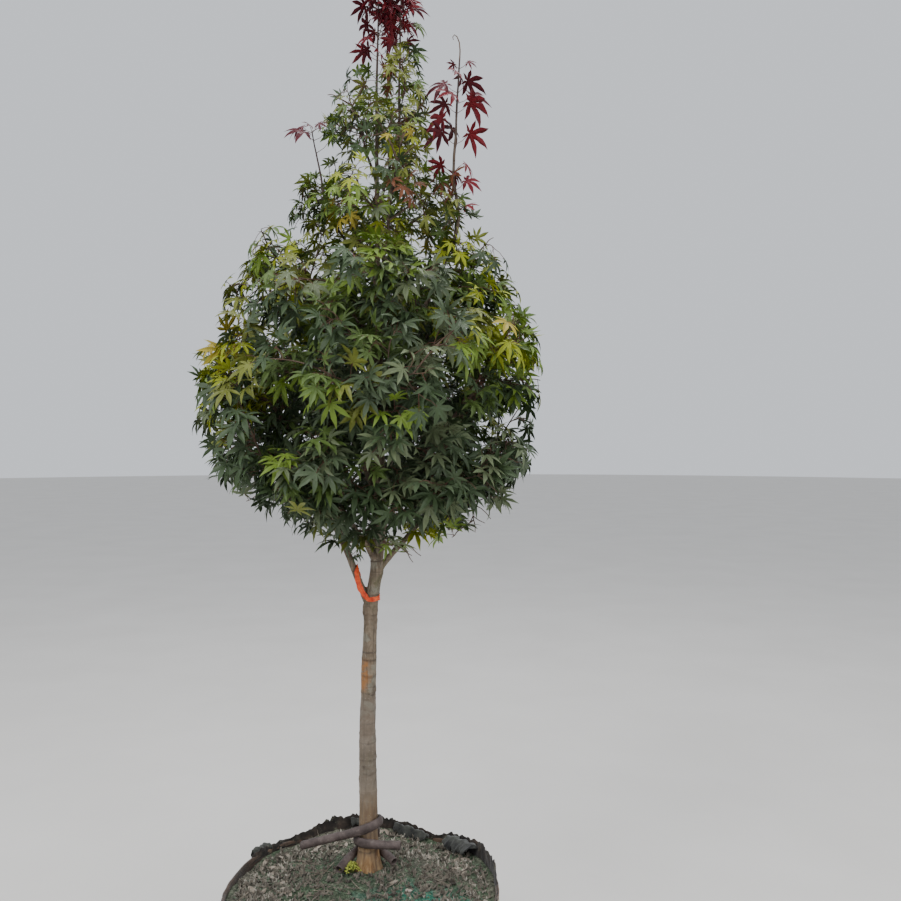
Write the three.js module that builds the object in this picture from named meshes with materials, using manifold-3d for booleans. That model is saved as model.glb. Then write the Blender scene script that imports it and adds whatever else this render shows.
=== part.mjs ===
// A young japanese maple in a fabric grow bag, about three metres tall.
// Millimetres, +Z up, +X right, +Y away from the front. The origin is the middle of the bag's underside.
import * as THREE from "three";
import Module from "manifold-3d";

const wasm = await Module();
wasm.setup();

const UP = new THREE.Vector3(0, 0, 1);
const TURN = 2 * Math.PI;

// Clearances
const gap = 0.3; // between pieces that touch
const leafClearance = 1.5; // from a leaf or twig to a limb
const entryDepth = 12; // from a limb's entry into its mass to the mass's border
const cellClearance = 0.6; // from a leaf or twig to the border of its mass

// Fabric bag
const bagSides = 32;
const bagHeight = 390;
const bagRimRadius = 370;
const bagFootRadius = 352;
const bagBellyRadius = 372;
const bagBellyHeight = 170;
const bagWall = 6;
const hemDepth = 28;
const hemStandOut = 3;

// Soil
const soilEdgeDrop = 16; // below the rim
const soilMound = 47; // from the soil's edge to the trunk's seat
const soilRoughness = 5;
const seatRadius = 62;

// Trunk
const footX = 13;
const footY = 55;
const soilTop = bagHeight - soilEdgeDrop + soilMound;
const footZ = soilTop + gap;
const trunkSides = 14;
const flareHeight = 70;
const flareOut = 0.42; // of the radius, at the ground
const flareLobes = 5;

// Height, x, y and radius of the trunk, from the ground to the tip of its leader
const trunkLine = [
  [footZ, footX, footY, 29],
  [footZ + 190, 13, 55, 25],
  [770, 11, 55, 23.2],
  [950, 14, 55, 20.5],
  [1060, 18, 55, 18.8],
  [1150, 21, 55, 18.2],
  [1258, 38, 52, 16.4],
  [1377, 46, 50, 15.2],
  [1700, 45, 50, 12],
  [2100, 40, 50, 7.8],
  [2440, 38, 50, 4.6],
];

// Crown outline: height, then reach from the axis to the left and to the right
const crownLine = [
  [1255, 60, 40],
  [1302, 150, 110],
  [1371, 290, 300],
  [1420, 340, 385],
  [1495, 455, 435],
  [1612, 505, 455],
  [1830, 500, 460],
  [1952, 450, 435],
  [2050, 390, 385],
  [2118, 345, 335],
  [2200, 280, 290],
  [2280, 235, 235],
  [2400, 190, 175],
  [2480, 150, 165],
  [2574, 105, 150],
  [2680, 85, 140],
  [2800, 95, 125],
  [2900, 80, 80],
  [3000, 45, 45],
];
const axisX = 40;
const axisY = 50;

// Limbs
const leaveStep = 28; // from one bough's start on the trunk to another's in its tier
const turnShare = 0.4; // of a bough's reach, where it bends most
const traceSteps = 40;
const boughStep = 70;
const stemSteps = 3;
const stemShare = 0.95; // radius of a mass's stem, as a share of its bough's tip
const limbTaper = 0.66; // share of its radius that a limb loses from the trunk to its tip

// Twigs and leaves, with each leaf as large as a small spray of real ones
const twigSides = 3;
const twigRadius = 3.4;
const twigTaper = 0.75;
const firstPair = 0.22; // share of the stem at its first pair of side twigs
const lastPair = 0.82;
const pairTurn = 1.35; // radians from one pair to the next
const pairLooseness = 0.6;
const twigForward = 0.7; // lean of a side twig along its stem
const twigLift = 0.15;
const twigShare = 0.5; // length of a side twig, as a share of its stem
const shortestTwig = 34;
const longestTwig = 185;
const twigJoints = [0.8, 0.42]; // places of the pairs of leaves along a side twig
const stemJoints = [0.3, 0.6, 0.85]; // and along the stem
const leafTries = 14;
const leafForward = 0.5; // lean of a leaf along its twig
const leafOutward = 0.3; // turn of a leaf away from the axis
const leafFall = 0.35; // and down
const leafUpright = 1.15; // how far its upper face looks up rather than out
const leafLooseness = 0.3;
const leafRootDepth = 2;
const leafReach = 128; // from the middle of the blade to its longest tip
const leafStalk = 66; // from the middle of the blade back to its root
const leafThickness = 4;
const leafDroop = 0.22; // fall of the tips, as a share of their reach
const leafNotch = 0.2; // depth left between the lowest lobes and the stalk
const leafNotchAngle = 150;
const leafSinus = 0.36; // depth left between two lobes, as a share of the reach
const leafLobes = [
  { angle: -100, reach: 0.6 },
  { angle: -48, reach: 0.88 },
  { angle: 0, reach: 1 },
  { angle: 48, reach: 0.88 },
  { angle: 100, reach: 0.6 },
];

// Masses in tiers. Angles are in degrees about the trunk, 0 to the right and 90 to the back.
const tiers = [
  {
    name: "lower",
    leafSize: 1.0,
    angles: [18, 90, 238, 308],
    leave: 1235,
    rise: 175,
    middle: 1465,
    middleReach: 270,
    tip: 1525,
    tipReach: 345,
    stagger: 28,
    clear: 125,
    radius: 9,
    pairs: 3,
    leaves: 13,
    tint: "#3f5a3c",
  },
  {
    name: "middle",
    leafSize: 1.0,
    angles: [345, 54, 128, 272],
    leave: 1400,
    rise: 210,
    middle: 1740,
    middleReach: 285,
    tip: 1800,
    tipReach: 385,
    stagger: 65,
    clear: 115,
    radius: 8,
    pairs: 3,
    leaves: 13,
    tint: "#48633a",
  },
  {
    name: "upper",
    leafSize: 0.95,
    angles: [12, 104, 190, 282],
    leave: 1650,
    rise: 230,
    middle: 1990,
    middleReach: 205,
    tip: 2065,
    tipReach: 290,
    stagger: 55,
    clear: 90,
    radius: 6.5,
    pairs: 3,
    leaves: 12,
    tint: "#5d733a",
  },
  {
    name: "high",
    leafSize: 0.85,
    angles: [60, 172, 296],
    leave: 1960,
    rise: 180,
    middle: 2230,
    middleReach: 125,
    tip: 2330,
    tipReach: 165,
    stagger: 45,
    clear: 62,
    radius: 5,
    pairs: 2,
    leaves: 9,
    tint: "#6d7a3c",
  },
  {
    name: "top",
    leafSize: 0.75,
    angles: [20, 205],
    leave: 2220,
    rise: 110,
    middle: 2455,
    middleReach: 68,
    tip: 2560,
    tipReach: 80,
    stagger: 30,
    clear: 40,
    radius: 4,
    pairs: 2,
    leaves: 8,
    tint: "#75713c",
  },
];

// Limbs with a line of their own: the second stem, its low bough, and the shoots above the crown
const shoots = [
  {
    name: "second_stem",
    leafSize: 1.0,
    line: [
      [20, 55, 1140],
      [-4, 50, 1195],
      [-51, 45, 1315],
      [-108, 40, 1470],
      [-172, 34, 1600],
      [-262, 26, 1715],
      [-345, 20, 1790],
    ],
    middle: [-235, 12, 1740],
    clear: 150,
    radius: 10.2,
    pairs: 3,
    leaves: 14,
    tint: "#526a3a",
  },
  {
    name: "low_left",
    leafSize: 1.0,
    line: [
      [-50, 45, 1312],
      [-104, 66, 1400],
      [-190, 92, 1475],
      [-325, 120, 1540],
    ],
    middle: [-225, 100, 1480],
    clear: 120,
    radius: 7,
    pairs: 3,
    leaves: 14,
    tint: "#42603a",
  },
  {
    name: "red_shoot",
    leafSize: 0.55,
    line: [
      [44, 50, 1790],
      [118, 46, 1905],
      [184, 42, 1993],
      [234, 42, 2112],
      [262, 44, 2200],
      [250, 44, 2330],
      [258, 44, 2504],
      [266, 44, 2650],
    ],
    middle: [262, 44, 2470],
    clear: 0,
    radius: 7,
    pairs: 3,
    leaves: 9,
    spread: 130,
    longest: 50,
    tint: "#7c1f2c",
  },
  {
    name: "left_shoot",
    leafSize: 0.52,
    line: [
      [42, 50, 2040],
      [-30, 44, 2130],
      [-92, 40, 2230],
      [-120, 40, 2350],
      [-138, 40, 2450],
    ],
    middle: [-150, 40, 2440],
    clear: 0,
    radius: 5,
    pairs: 1,
    leaves: 7,
    spread: 115,
    longest: 42,
    tint: "#6b5a34",
  },
  {
    name: "leader",
    onTrunkTip: true,
    leafSize: 0.5,
    line: [
      [38, 50, 2440],
      [38, 50, 2560],
      [42, 50, 2720],
      [46, 50, 2930],
    ],
    middle: [36, 50, 2790],
    clear: 0,
    radius: 4.4,
    pairs: 4,
    leaves: 10,
    spread: 130,
    longest: 55,
    tint: "#7a1f2b",
  },
  {
    name: "leader_right",
    leafSize: 0.5,
    line: [
      [41, 50, 2150],
      [72, 48, 2270],
      [96, 46, 2400],
      [101, 46, 2560],
      [103, 46, 2720],
      [106, 46, 2870],
    ],
    middle: [112, 46, 2750],
    clear: 0,
    radius: 5,
    pairs: 3,
    leaves: 8,
    spread: 120,
    longest: 50,
    tint: "#6d2a2c",
  },
];

// Ribbon round both stems at the fork: its heights at the main and at the second stem
const ribbonMainZ = 1172;
const ribbonSecondZ = 1262;
const ribbonClimb = [0.3, 1.15]; // where it starts and ends its climb, from one stem's middle to the other's
const ribbonWidth = 15;
const ribbonThickness = 1.2;
const ribbonClearance = 1.5; // round the main stem
const ribbonSlack = 4; // round the leaning second stem
const ribbonSteps = 22;

// Rubber hoses round the trunk's foot. Each opens towards an angle and falls along its arms.
const hoseRadius = 11.5;
const hoseSides = 8;
const hoseClearance = 0.3;
const hoseFlareShare = 0.48; // of the root flare, between its lobes
const hoseBendSteps = 6;
const hoseJoints = [0.33, 0.66, 1]; // places of the rings along an arm
const hoseMiddle = 0.42; // share of the fall where it rounds the trunk
const hoses = [
  { name: "hose_left", open: 158, height: 562, arms: [190, 45], fall: 84, splay: 0 },
  { name: "hose_right", open: 352, height: 505, arms: [28, 90], fall: 12, splay: 0 },
  { name: "hose_front", open: 282, height: 466, arms: [46, 74], fall: 36, splay: 38 },
];

// Finishes
const barkRoughness = 0.85;
const leafRoughness = 0.6;
const barkColour = "#8d7766";
const fabricColour = "#3b3129";
const soilColour = "#4c4a3a";
const ribbonColour = "#e8562a";
const hoseColour = "#574a4c";

// Returns the same run of numbers between 0 and 1 for the same seed.
function randomSource(seed) {
  const modulus = 2147483647;
  const factor = 48271;
  let state = seed * 7919 + 101;
  const draw = () => {
    state = (state * factor) % modulus;
    return state / modulus;
  };
  draw();
  draw();
  return draw;
}

function radians(degrees) {
  return (degrees * Math.PI) / 180;
}

// Value at x of a line through rows whose first number grows; returns the other numbers of a row.
function alongRows(rows, x) {
  let i = 1;
  while (i < rows.length - 1 && rows[i][0] < x) {
    i += 1;
  }
  const [from, to] = [rows[i - 1], rows[i]];
  const share = Math.min(1, Math.max(0, (x - from[0]) / (to[0] - from[0])));
  return from.slice(1).map((value, k) => value + (to[k + 1] - value) * share);
}

function indexed(points, index) {
  const geometry = new THREE.BufferGeometry();
  const positions = points.flatMap((p) => [p.x, p.y, p.z]);
  geometry.setAttribute("position", new THREE.Float32BufferAttribute(positions, 3));
  geometry.setIndex(index);
  return geometry;
}

// Closed body through rings of the same count, with a flat face at each end.
function loft(rings) {
  const count = rings[0].length;
  const index = [];
  for (let i = 0; i < rings.length - 1; i += 1) {
    for (let j = 0; j < count; j += 1) {
      const next = (j + 1) % count;
      const [a, b] = [i * count + j, i * count + next];
      index.push(a, b, b + count, a, b + count, a + count);
    }
  }
  const last = (rings.length - 1) * count;
  for (let j = 1; j < count - 1; j += 1) {
    index.push(0, j + 1, j, last, last + j, last + j + 1);
  }
  return indexed(rings.flat(), index);
}

function levelRing(x, y, z, radiusAt, sides) {
  return Array.from({ length: sides }, (_, j) => {
    const angle = (TURN * j) / sides;
    const radius = radiusAt(angle);
    return new THREE.Vector3(x + radius * Math.cos(angle), y + radius * Math.sin(angle), z);
  });
}

// Tapering limb through points, with a ring square to the line at each.
function limbGeometry(points, radii, sides) {
  const tangents = points.map((p, i) => {
    const before = points[Math.max(0, i - 1)];
    const after = points[Math.min(points.length - 1, i + 1)];
    return after.clone().sub(before).normalize();
  });
  const side = new THREE.Vector3(1, 0.3, 0.1);
  const rings = points.map((p, i) => {
    const t = tangents[i];
    const u = side.clone().addScaledVector(t, -side.dot(t)).normalize();
    const v = new THREE.Vector3().crossVectors(t, u);
    return Array.from({ length: sides }, (_, j) => {
      const angle = (TURN * j) / sides;
      const out = u.clone().multiplyScalar(Math.cos(angle)).addScaledVector(v, Math.sin(angle));
      return p.clone().addScaledVector(out, radii[i]);
    });
  });
  return loft(rings);
}

function solidOf(geometry) {
  const vertProperties = new Float32Array(geometry.getAttribute("position").array);
  const triVerts = new Uint32Array(geometry.getIndex().array);
  return new wasm.Manifold(new wasm.Mesh({ numProp: 3, vertProperties, triVerts }));
}

function geometryOf(solid) {
  const mesh = solid.getMesh();
  const geometry = new THREE.BufferGeometry();
  geometry.setAttribute("position", new THREE.Float32BufferAttribute(mesh.vertProperties, 3));
  geometry.setIndex(Array.from(mesh.triVerts));
  return geometry;
}

// The largest body of a join or cut, without loose scraps or sealed hollows.
function mainBody(solid) {
  const bodies = solid.decompose();
  return bodies.reduce((best, body) => (body.volume() > best.volume() ? body : best));
}

// Trunk
function trunkAt(z) {
  const [x, y, radius] = alongRows(trunkLine, z);
  return { x, y, radius };
}

// Growth of the trunk's radius in its root flare, from 0 above it to the full flare at the ground.
function flareAt(z) {
  return flareOut * Math.max(0, 1 - (z - footZ) / flareHeight) ** 2;
}

function trunkGeometry(extra) {
  const heights = [footZ, footZ + 18, footZ + 40, footZ + flareHeight];
  heights.push(...trunkLine.slice(1).map((row) => row[0]));
  const rings = heights.map((z) => {
    const { x, y, radius } = trunkAt(z);
    const lobed = (angle) => {
      const lobe = 0.75 + 0.25 * Math.cos(flareLobes * angle + 0.7);
      return radius * (1 + flareAt(z) * lobe) + extra;
    };
    return levelRing(x, y, z, lobed, trunkSides);
  });
  return loft(rings);
}

// Bag and soil
function bagRadiusAt(z) {
  const belly = 1 - ((z - bagBellyHeight) / bagBellyHeight) ** 2;
  const straight = bagFootRadius + ((bagRimRadius - bagFootRadius) * z) / bagHeight;
  const full = bagBellyRadius - (bagFootRadius + bagRimRadius) / 2;
  return straight + full * Math.max(0, belly);
}

const bagHeights = [0, 110, 250, bagHeight - hemDepth];

function bagGeometry() {
  const ring = (radius, z) => levelRing(0, 0, z, () => radius, bagSides);
  const hem = bagRadiusAt(bagHeight - hemDepth) + hemStandOut;
  const outside = bagHeights.map((z) => ring(bagRadiusAt(z), z));
  outside.push(ring(hem, bagHeight - hemDepth), ring(bagRimRadius + hemStandOut, bagHeight));
  const inside = [bagHeight, ...bagHeights.slice(1).reverse(), bagWall].map((z) =>
    ring(bagRadiusAt(z) - bagWall, z),
  );
  return loft([...outside, ...inside]);
}

function soilGeometry() {
  const edgeTop = bagHeight - soilEdgeDrop;
  const sides = [bagWall + gap, ...bagHeights.slice(1), edgeTop];
  const rings = sides.map((z) => {
    return levelRing(0, 0, z, () => bagRadiusAt(z) - bagWall - gap, bagSides);
  });
  const edge = bagRadiusAt(edgeTop) - bagWall - gap;
  const random = randomSource(5);
  for (const share of [0.86, 0.64, 0.42]) {
    const rise = soilMound * (0.5 + 0.5 * Math.cos(Math.PI * Math.min(1, share * 1.08)));
    const [x, y] = [footX * (1 - share), footY * (1 - share)];
    const ring = levelRing(x, y, edgeTop + rise, () => edge * share, bagSides);
    ring.forEach((p) => {
      p.z += (random() - 0.5) * 2 * soilRoughness;
    });
    rings.push(ring);
  }
  rings.push(levelRing(footX, footY, soilTop, () => seatRadius, bagSides));
  return loft(rings);
}

// Reach of the crown from its axis at a point.
function crownReach(p) {
  const [left, right] = alongRows(crownLine, p.z);
  const across = p.x - axisX;
  const out = Math.hypot(across, p.y - axisY) || 1;
  const rightShare = 0.5 + (0.5 * across) / out;
  return left + (right - left) * rightShare;
}

function insideCrown(p) {
  const low = crownLine[0][0];
  const high = crownLine[crownLine.length - 1][0];
  if (p.z < low || p.z > high) {
    return false;
  }
  return Math.hypot(p.x - axisX, p.y - axisY) < crownReach(p);
}

// One row for each mass: its limb's whole line from the trunk, its middle and how it is grown.
function limbPlan() {
  const plan = [];
  for (const tier of tiers) {
    tier.angles.forEach((degrees, i) => {
      const angle = radians(degrees);
      const out = new THREE.Vector3(Math.cos(angle), Math.sin(angle), 0);
      const leaveZ = tier.leave + leaveStep * ((i * 3) % 5);
      const trunk = trunkAt(leaveZ);
      const start = new THREE.Vector3(trunk.x, trunk.y, leaveZ);
      const axis = new THREE.Vector3(axisX, axisY, 0);
      const stagger = i % 2 ? -tier.stagger : tier.stagger;
      const end = axis.clone().addScaledVector(out, tier.tipReach).setZ(tier.tip + stagger);
      const turnAt = start.clone().addScaledVector(out, tier.tipReach * turnShare);
      turnAt.z += tier.rise;
      plan.push({
        ...tier,
        name: `${tier.name}_${i + 1}`,
        line: new THREE.QuadraticBezierCurve3(start, turnAt, end),
        middle: axis.clone().addScaledVector(out, tier.middleReach).setZ(tier.middle + stagger),
        seed: plan.length + 11,
      });
    });
  }
  for (const shoot of shoots) {
    plan.push({
      ...shoot,
      line: new THREE.CatmullRomCurve3(shoot.line.map((p) => new THREE.Vector3(...p))),
      middle: new THREE.Vector3(...shoot.middle),
      seed: plan.length + 11,
    });
  }
  return plan;
}

const plan = limbPlan();
for (const row of plan) {
  row.trace = row.line.getSpacedPoints(traceSteps);
}

// How far a point is inside the space nearest to its own mass's middle.
function insideCell(p, own) {
  return plan.reduce((least, other) => {
    if (other === own) {
      return least;
    }
    const apart = other.middle.distanceTo(own.middle);
    const depth = (p.distanceToSquared(other.middle) - p.distanceToSquared(own.middle)) / (2 * apart);
    return Math.min(least, depth);
  }, Infinity);
}

function inOwnSpace(p, own, thickness = 0) {
  if (insideCell(p, own) < cellClearance + thickness) {
    return false;
  }
  if (own.spread) {
    return own.trace.some((q) => q.distanceTo(p) < own.spread);
  }
  return insideCrown(p);
}

// Step of a limb's trace where it enters its mass: its bough ends there and its mass begins.
function entryStep(row) {
  return row.trace.findIndex((p, i) => {
    const reach = Math.hypot(p.x - axisX, p.y - axisY);
    return i > 0 && reach > row.clear && insideCell(p, row) > entryDepth;
  });
}

// Points and radii of a limb between two steps of its trace.
function limbPart(row, from, to, segments) {
  const points = [];
  const radii = [];
  for (let i = 0; i <= segments; i += 1) {
    const share = (from + ((to - from) * i) / segments) / traceSteps;
    points.push(row.line.getPointAt(share));
    radii.push(row.radius * (1 - limbTaper * share));
  }
  return { points, radii };
}

// A leaf: a shallow cone of pointed lobes round its middle, drawn back to a root at its stalk.
function leafGeometry(root, direction, normal, scale) {
  const side = new THREE.Vector3().crossVectors(normal, direction).normalize();
  const face = new THREE.Vector3().crossVectors(direction, side).normalize();
  const middle = root.clone().addScaledVector(direction, leafStalk * scale);
  const place = (degrees, reach) => {
    const angle = radians(degrees);
    return middle
      .clone()
      .addScaledVector(direction, Math.cos(angle) * reach)
      .addScaledVector(side, Math.sin(angle) * reach)
      .addScaledVector(face, -leafDroop * reach);
  };
  const sinus = leafSinus * leafReach * scale;
  const notch = { angle: leafNotchAngle, reach: leafNotch * leafReach * scale };
  const outline = [root.clone(), place(-notch.angle, notch.reach)];
  leafLobes.forEach((lobe, i) => {
    outline.push(place(lobe.angle, lobe.reach * leafReach * scale));
    const next = leafLobes[i + 1];
    outline.push(next ? place((lobe.angle + next.angle) / 2, sinus) : place(notch.angle, notch.reach));
  });
  const top = middle.clone().addScaledVector(face, leafThickness);
  const count = outline.length;
  const index = [];
  for (let i = 0; i < count; i += 1) {
    index.push(count, i, (i + 1) % count);
  }
  const inner = [0];
  for (let i = 1; i < count; i += 2) {
    inner.push(i);
    if (i + 2 < count) {
      index.push(i, i + 2, i + 1);
    }
  }
  for (let i = 2; i < inner.length; i += 1) {
    index.push(inner[1], inner[(i + 1) % inner.length], inner[i]);
  }
  const points = [...outline, top];
  return { geometry: indexed(points, index), points };
}

// Unit vector square to a line, turned about it.
function squareTo(forward, turn) {
  const u = new THREE.Vector3().crossVectors(forward, UP);
  if (u.length() < 0.2) {
    u.set(1, 0, 0).addScaledVector(forward, -forward.x);
  }
  u.normalize();
  const v = new THREE.Vector3().crossVectors(forward, u);
  return u.multiplyScalar(Math.cos(turn)).addScaledVector(v, Math.sin(turn));
}

// Side twigs of a stem: opposite pairs, each pair turned from the one before.
function sideTwigs(row, stem) {
  const random = randomSource(row.seed);
  const line = new THREE.CatmullRomCurve3(stem);
  const stemLength = line.getLength();
  const twigs = [];
  for (let i = 0; i < row.pairs; i += 1) {
    const share = firstPair + ((lastPair - firstPair) * i) / Math.max(1, row.pairs - 1);
    const from = line.getPointAt(share);
    const forward = line.getTangentAt(share);
    const turn = i * pairTurn + random() * pairLooseness;
    for (const half of [0, Math.PI]) {
      const direction = squareTo(forward, turn + half).addScaledVector(forward, twigForward).normalize();
      direction.addScaledVector(UP, twigLift).normalize();
      const share0 = twigShare * (1.2 - 0.5 * share) * (0.8 + 0.4 * random());
      const longest = row.longest ?? longestTwig;
      const length = Math.min(longest, Math.max(shortestTwig, stemLength * share0));
      twigs.push({ from, direction, end: from.clone().addScaledVector(direction, length) });
    }
  }
  return twigs;
}

// Grows a mass on its stem: side twigs, then leaves in threes at every tip and in pairs along them.
function growMass(row, stem, radii, limbs) {
  const random = randomSource(row.seed + 500);
  let wood = solidOf(limbGeometry(stem, radii, twigSides));
  let leaves = null;
  let count = 0;
  const isClear = (solid) => solid.intersect(limbs).isEmpty();

  const addLeaf = (root, direction) => {
    const outward = new THREE.Vector3(root.x - axisX, root.y - axisY, 0).normalize();
    for (let i = 0; i < leafTries; i += 1) {
      const loose = leafLooseness * (1 + 0.4 * i);
      const jitter = () => new THREE.Vector3(random() - 0.5, random() - 0.5, random() - 0.5);
      const turned = direction.clone().addScaledVector(outward, leafOutward).addScaledVector(UP, -leafFall);
      turned.addScaledVector(jitter(), loose).normalize();
      const normal = outward.clone().addScaledVector(UP, leafUpright);
      normal.addScaledVector(jitter(), loose).normalize();
      const size = row.leafSize * (0.9 + 0.2 * random()) * (1 - 0.02 * i);
      const { geometry, points } = leafGeometry(root, turned, normal, size);
      if (!points.every((p) => inOwnSpace(p, row))) {
        continue;
      }
      const leaf = solidOf(geometry);
      if (!isClear(leaf) || (leaves && !leaf.intersect(leaves).isEmpty())) {
        continue;
      }
      leaves = leaves ? leaves.add(leaf) : leaf;
      count += 1;
      return;
    }
  };

  const joints = [];
  const addJoint = (place, forward, turn, round) => {
    for (const half of [1, 2]) {
      const direction = squareTo(forward, turn + half * Math.PI).addScaledVector(forward, leafForward);
      joints.push({ round: round + half, place, direction });
    }
  };
  const addTip = (tip, forward) => {
    const place = tip.clone().addScaledVector(forward, -leafRootDepth);
    joints.push({ round: 0, place, direction: forward.clone() });
  };
  for (const { from, direction, end } of sideTwigs(row, stem)) {
    const twig = solidOf(limbGeometry([from, end], [twigRadius, twigRadius * twigTaper], twigSides));
    if (inOwnSpace(end, row, twigRadius) && isClear(twig)) {
      wood = wood.add(twig);
      addTip(end, direction);
      twigJoints.forEach((share, k) => {
        addJoint(from.clone().lerp(end, share), direction, random() * Math.PI, 2 * k);
      });
    }
  }
  const last = stem.length - 1;
  addTip(stem[last], stem[last].clone().sub(stem[last - 1]).normalize());
  const line = new THREE.CatmullRomCurve3(stem);
  for (const share of stemJoints) {
    addJoint(line.getPointAt(share), line.getTangentAt(share), random() * Math.PI, 1);
  }
  joints.sort((a, b) => a.round - b.round);
  for (const { place, direction } of joints) {
    if (count < row.leaves) {
      addLeaf(place, direction.normalize());
    }
  }
  return mainBody(leaves ? wood.add(leaves) : wood);
}

// A closed band round both stems, low at the main stem and high at the second one.
function ribbonGeometry(secondStem) {
  const main = trunkAt(ribbonMainZ);
  const second = secondStem(ribbonSecondZ);
  const circles = [
    { x: main.x, y: main.y, r: main.radius + ribbonClearance },
    { x: second.x, y: second.y, r: second.radius + ribbonSlack },
  ];
  const rings = [];
  for (let i = 0; i < ribbonSteps; i += 1) {
    const angle = (TURN * i) / ribbonSteps;
    const [cos, sin] = [Math.cos(angle), Math.sin(angle)];
    const far = circles.map((c) => c.x * cos + c.y * sin + c.r);
    const circle = far[0] >= far[1] ? circles[0] : circles[1];
    const x = circle.x + circle.r * cos;
    const y = circle.y + circle.r * sin;
    const share = (x - main.x) / (second.x - main.x);
    const climbed = (share - ribbonClimb[0]) / (ribbonClimb[1] - ribbonClimb[0]);
    const z = ribbonMainZ + (ribbonSecondZ - ribbonMainZ) * Math.min(1, Math.max(0, climbed));
    const corner = (out, up) => new THREE.Vector3(x + out * cos, y + out * sin, z + up);
    const half = ribbonWidth / 2;
    rings.push([
      corner(0, -half),
      corner(ribbonThickness, -half),
      corner(ribbonThickness, half),
      corner(0, half),
    ]);
  }
  return closedRingGeometry(rings);
}

// A closed band whose last section joins its first.
function closedRingGeometry(rings) {
  const count = rings[0].length;
  const index = [];
  for (let i = 0; i < rings.length; i += 1) {
    const [here, there] = [i * count, ((i + 1) % rings.length) * count];
    for (let j = 0; j < count; j += 1) {
      const next = (j + 1) % count;
      index.push(here + j, there + next, here + next, here + j, there + j, there + next);
    }
  }
  return indexed(rings.flat(), index);
}

// A hose bent round the trunk, with both arms towards the open side and falling to the soil.
function hoseGeometry({ open, height, arms, fall, splay }) {
  const trunk = trunkAt(height);
  const longest = Math.max(...arms);
  const half = radians(90 + splay);
  const bend = (TURN - 2 * half) / hoseBendSteps;
  const thickness = trunk.radius * (1 + hoseFlareShare * flareAt(height - fall * hoseMiddle));
  const radius = (thickness + hoseRadius + hoseClearance) / Math.cos(bend / 2);
  const points = [];
  const place = (angle, out) => {
    const heading = radians(open) + angle;
    const away = radians(open) + Math.sign(angle) * radians(splay);
    const x = trunk.x + radius * Math.cos(heading) + out * Math.cos(away);
    const y = trunk.y + radius * Math.sin(heading) + out * Math.sin(away);
    const along = (x - trunk.x) * Math.cos(radians(open)) + (y - trunk.y) * Math.sin(radians(open));
    return new THREE.Vector3(x, y, height - (fall * (along + radius)) / (longest + radius));
  };
  points.push(...hoseJoints.map((share) => place(half, arms[0] * share)).reverse());
  for (let i = 0; i <= hoseBendSteps; i += 1) {
    points.push(place(half + bend * i - (i > hoseBendSteps / 2 ? TURN : 0), 0));
  }
  points.push(...hoseJoints.map((share) => place(-half, arms[1] * share)));
  const radii = points.map(() => hoseRadius);
  return limbGeometry(points, radii, hoseSides);
}

// Assembly
function finish(colour, roughness) {
  return new THREE.MeshStandardMaterial({ color: colour, roughness, metalness: 0, flatShading: true });
}

const group = new THREE.Group();

function addPiece(name, geometry, material) {
  geometry.computeVertexNormals();
  const mesh = new THREE.Mesh(geometry, material);
  mesh.name = name;
  group.add(mesh);
}

const bark = finish(barkColour, barkRoughness);
addPiece("fabric_bag", bagGeometry(), finish(fabricColour, 0.95));
addPiece("soil", soilGeometry(), finish(soilColour, 1));
addPiece("trunk", trunkGeometry(0), bark);

let taken = solidOf(trunkGeometry(gap));
const boughSides = 5;
const shortestBough = 40;
const collar = 0.35; // swelling of a bough where it leaves the trunk
let limbs = solidOf(trunkGeometry(leafClearance));
const stems = [];
for (const row of plan) {
  const enters = row.onTrunkTip ? 0 : entryStep(row);
  const boughLength = row.trace[enters].distanceTo(row.trace[0]);
  const hasBough = boughLength > shortestBough;
  const carrier = UP.clone();
  if (hasBough) {
    const segments = Math.max(3, Math.ceil(boughLength / boughStep));
    const { points, radii } = limbPart(row, 0, enters, segments);
    radii[0] *= 1 + collar;
    carrier.copy(points[segments]).sub(points[segments - 1]).normalize();
    const bough = mainBody(solidOf(limbGeometry(points, radii, boughSides)).subtract(taken));
    const wider = (extra) => solidOf(limbGeometry(points, radii.map((r) => r + extra), boughSides));
    taken = taken.add(wider(gap));
    limbs = limbs.add(wider(leafClearance));
    addPiece(`bough_${row.name}`, geometryOf(bough), bark);
  }
  const { points, radii } = limbPart(row, hasBough ? enters : 0, traceSteps, stemSteps);
  const start = points[1].clone().sub(points[0]).normalize();
  const tilt = start.angleTo(carrier);
  points[0].addScaledVector(start, gap + radii[0] * Math.sin(tilt));
  stems.push({ row, points, radii: radii.map((r) => Math.max(r * stemShare, twigRadius)) });
}

for (const { row, points, radii } of stems) {
  const mass = growMass(row, points, radii, limbs);
  addPiece(`foliage_${row.name}`, geometryOf(mass), finish(row.tint, leafRoughness));
}

const ribbon = ribbonGeometry((z) => {
  const row = plan.find((limb) => limb.name === "second_stem");
  const step = row.trace.findIndex((p) => p.z > z);
  const p = row.trace[step];
  return { x: p.x, y: p.y, radius: row.radius };
});
addPiece("ribbon", ribbon, finish(ribbonColour, 0.6));
for (const hose of hoses) {
  addPiece(hose.name, hoseGeometry(hose), finish(hoseColour, 0.8));
}

export default group;
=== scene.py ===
import math
import random
from itertools import product

import bpy
import numpy as np
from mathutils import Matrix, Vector, noise


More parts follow.
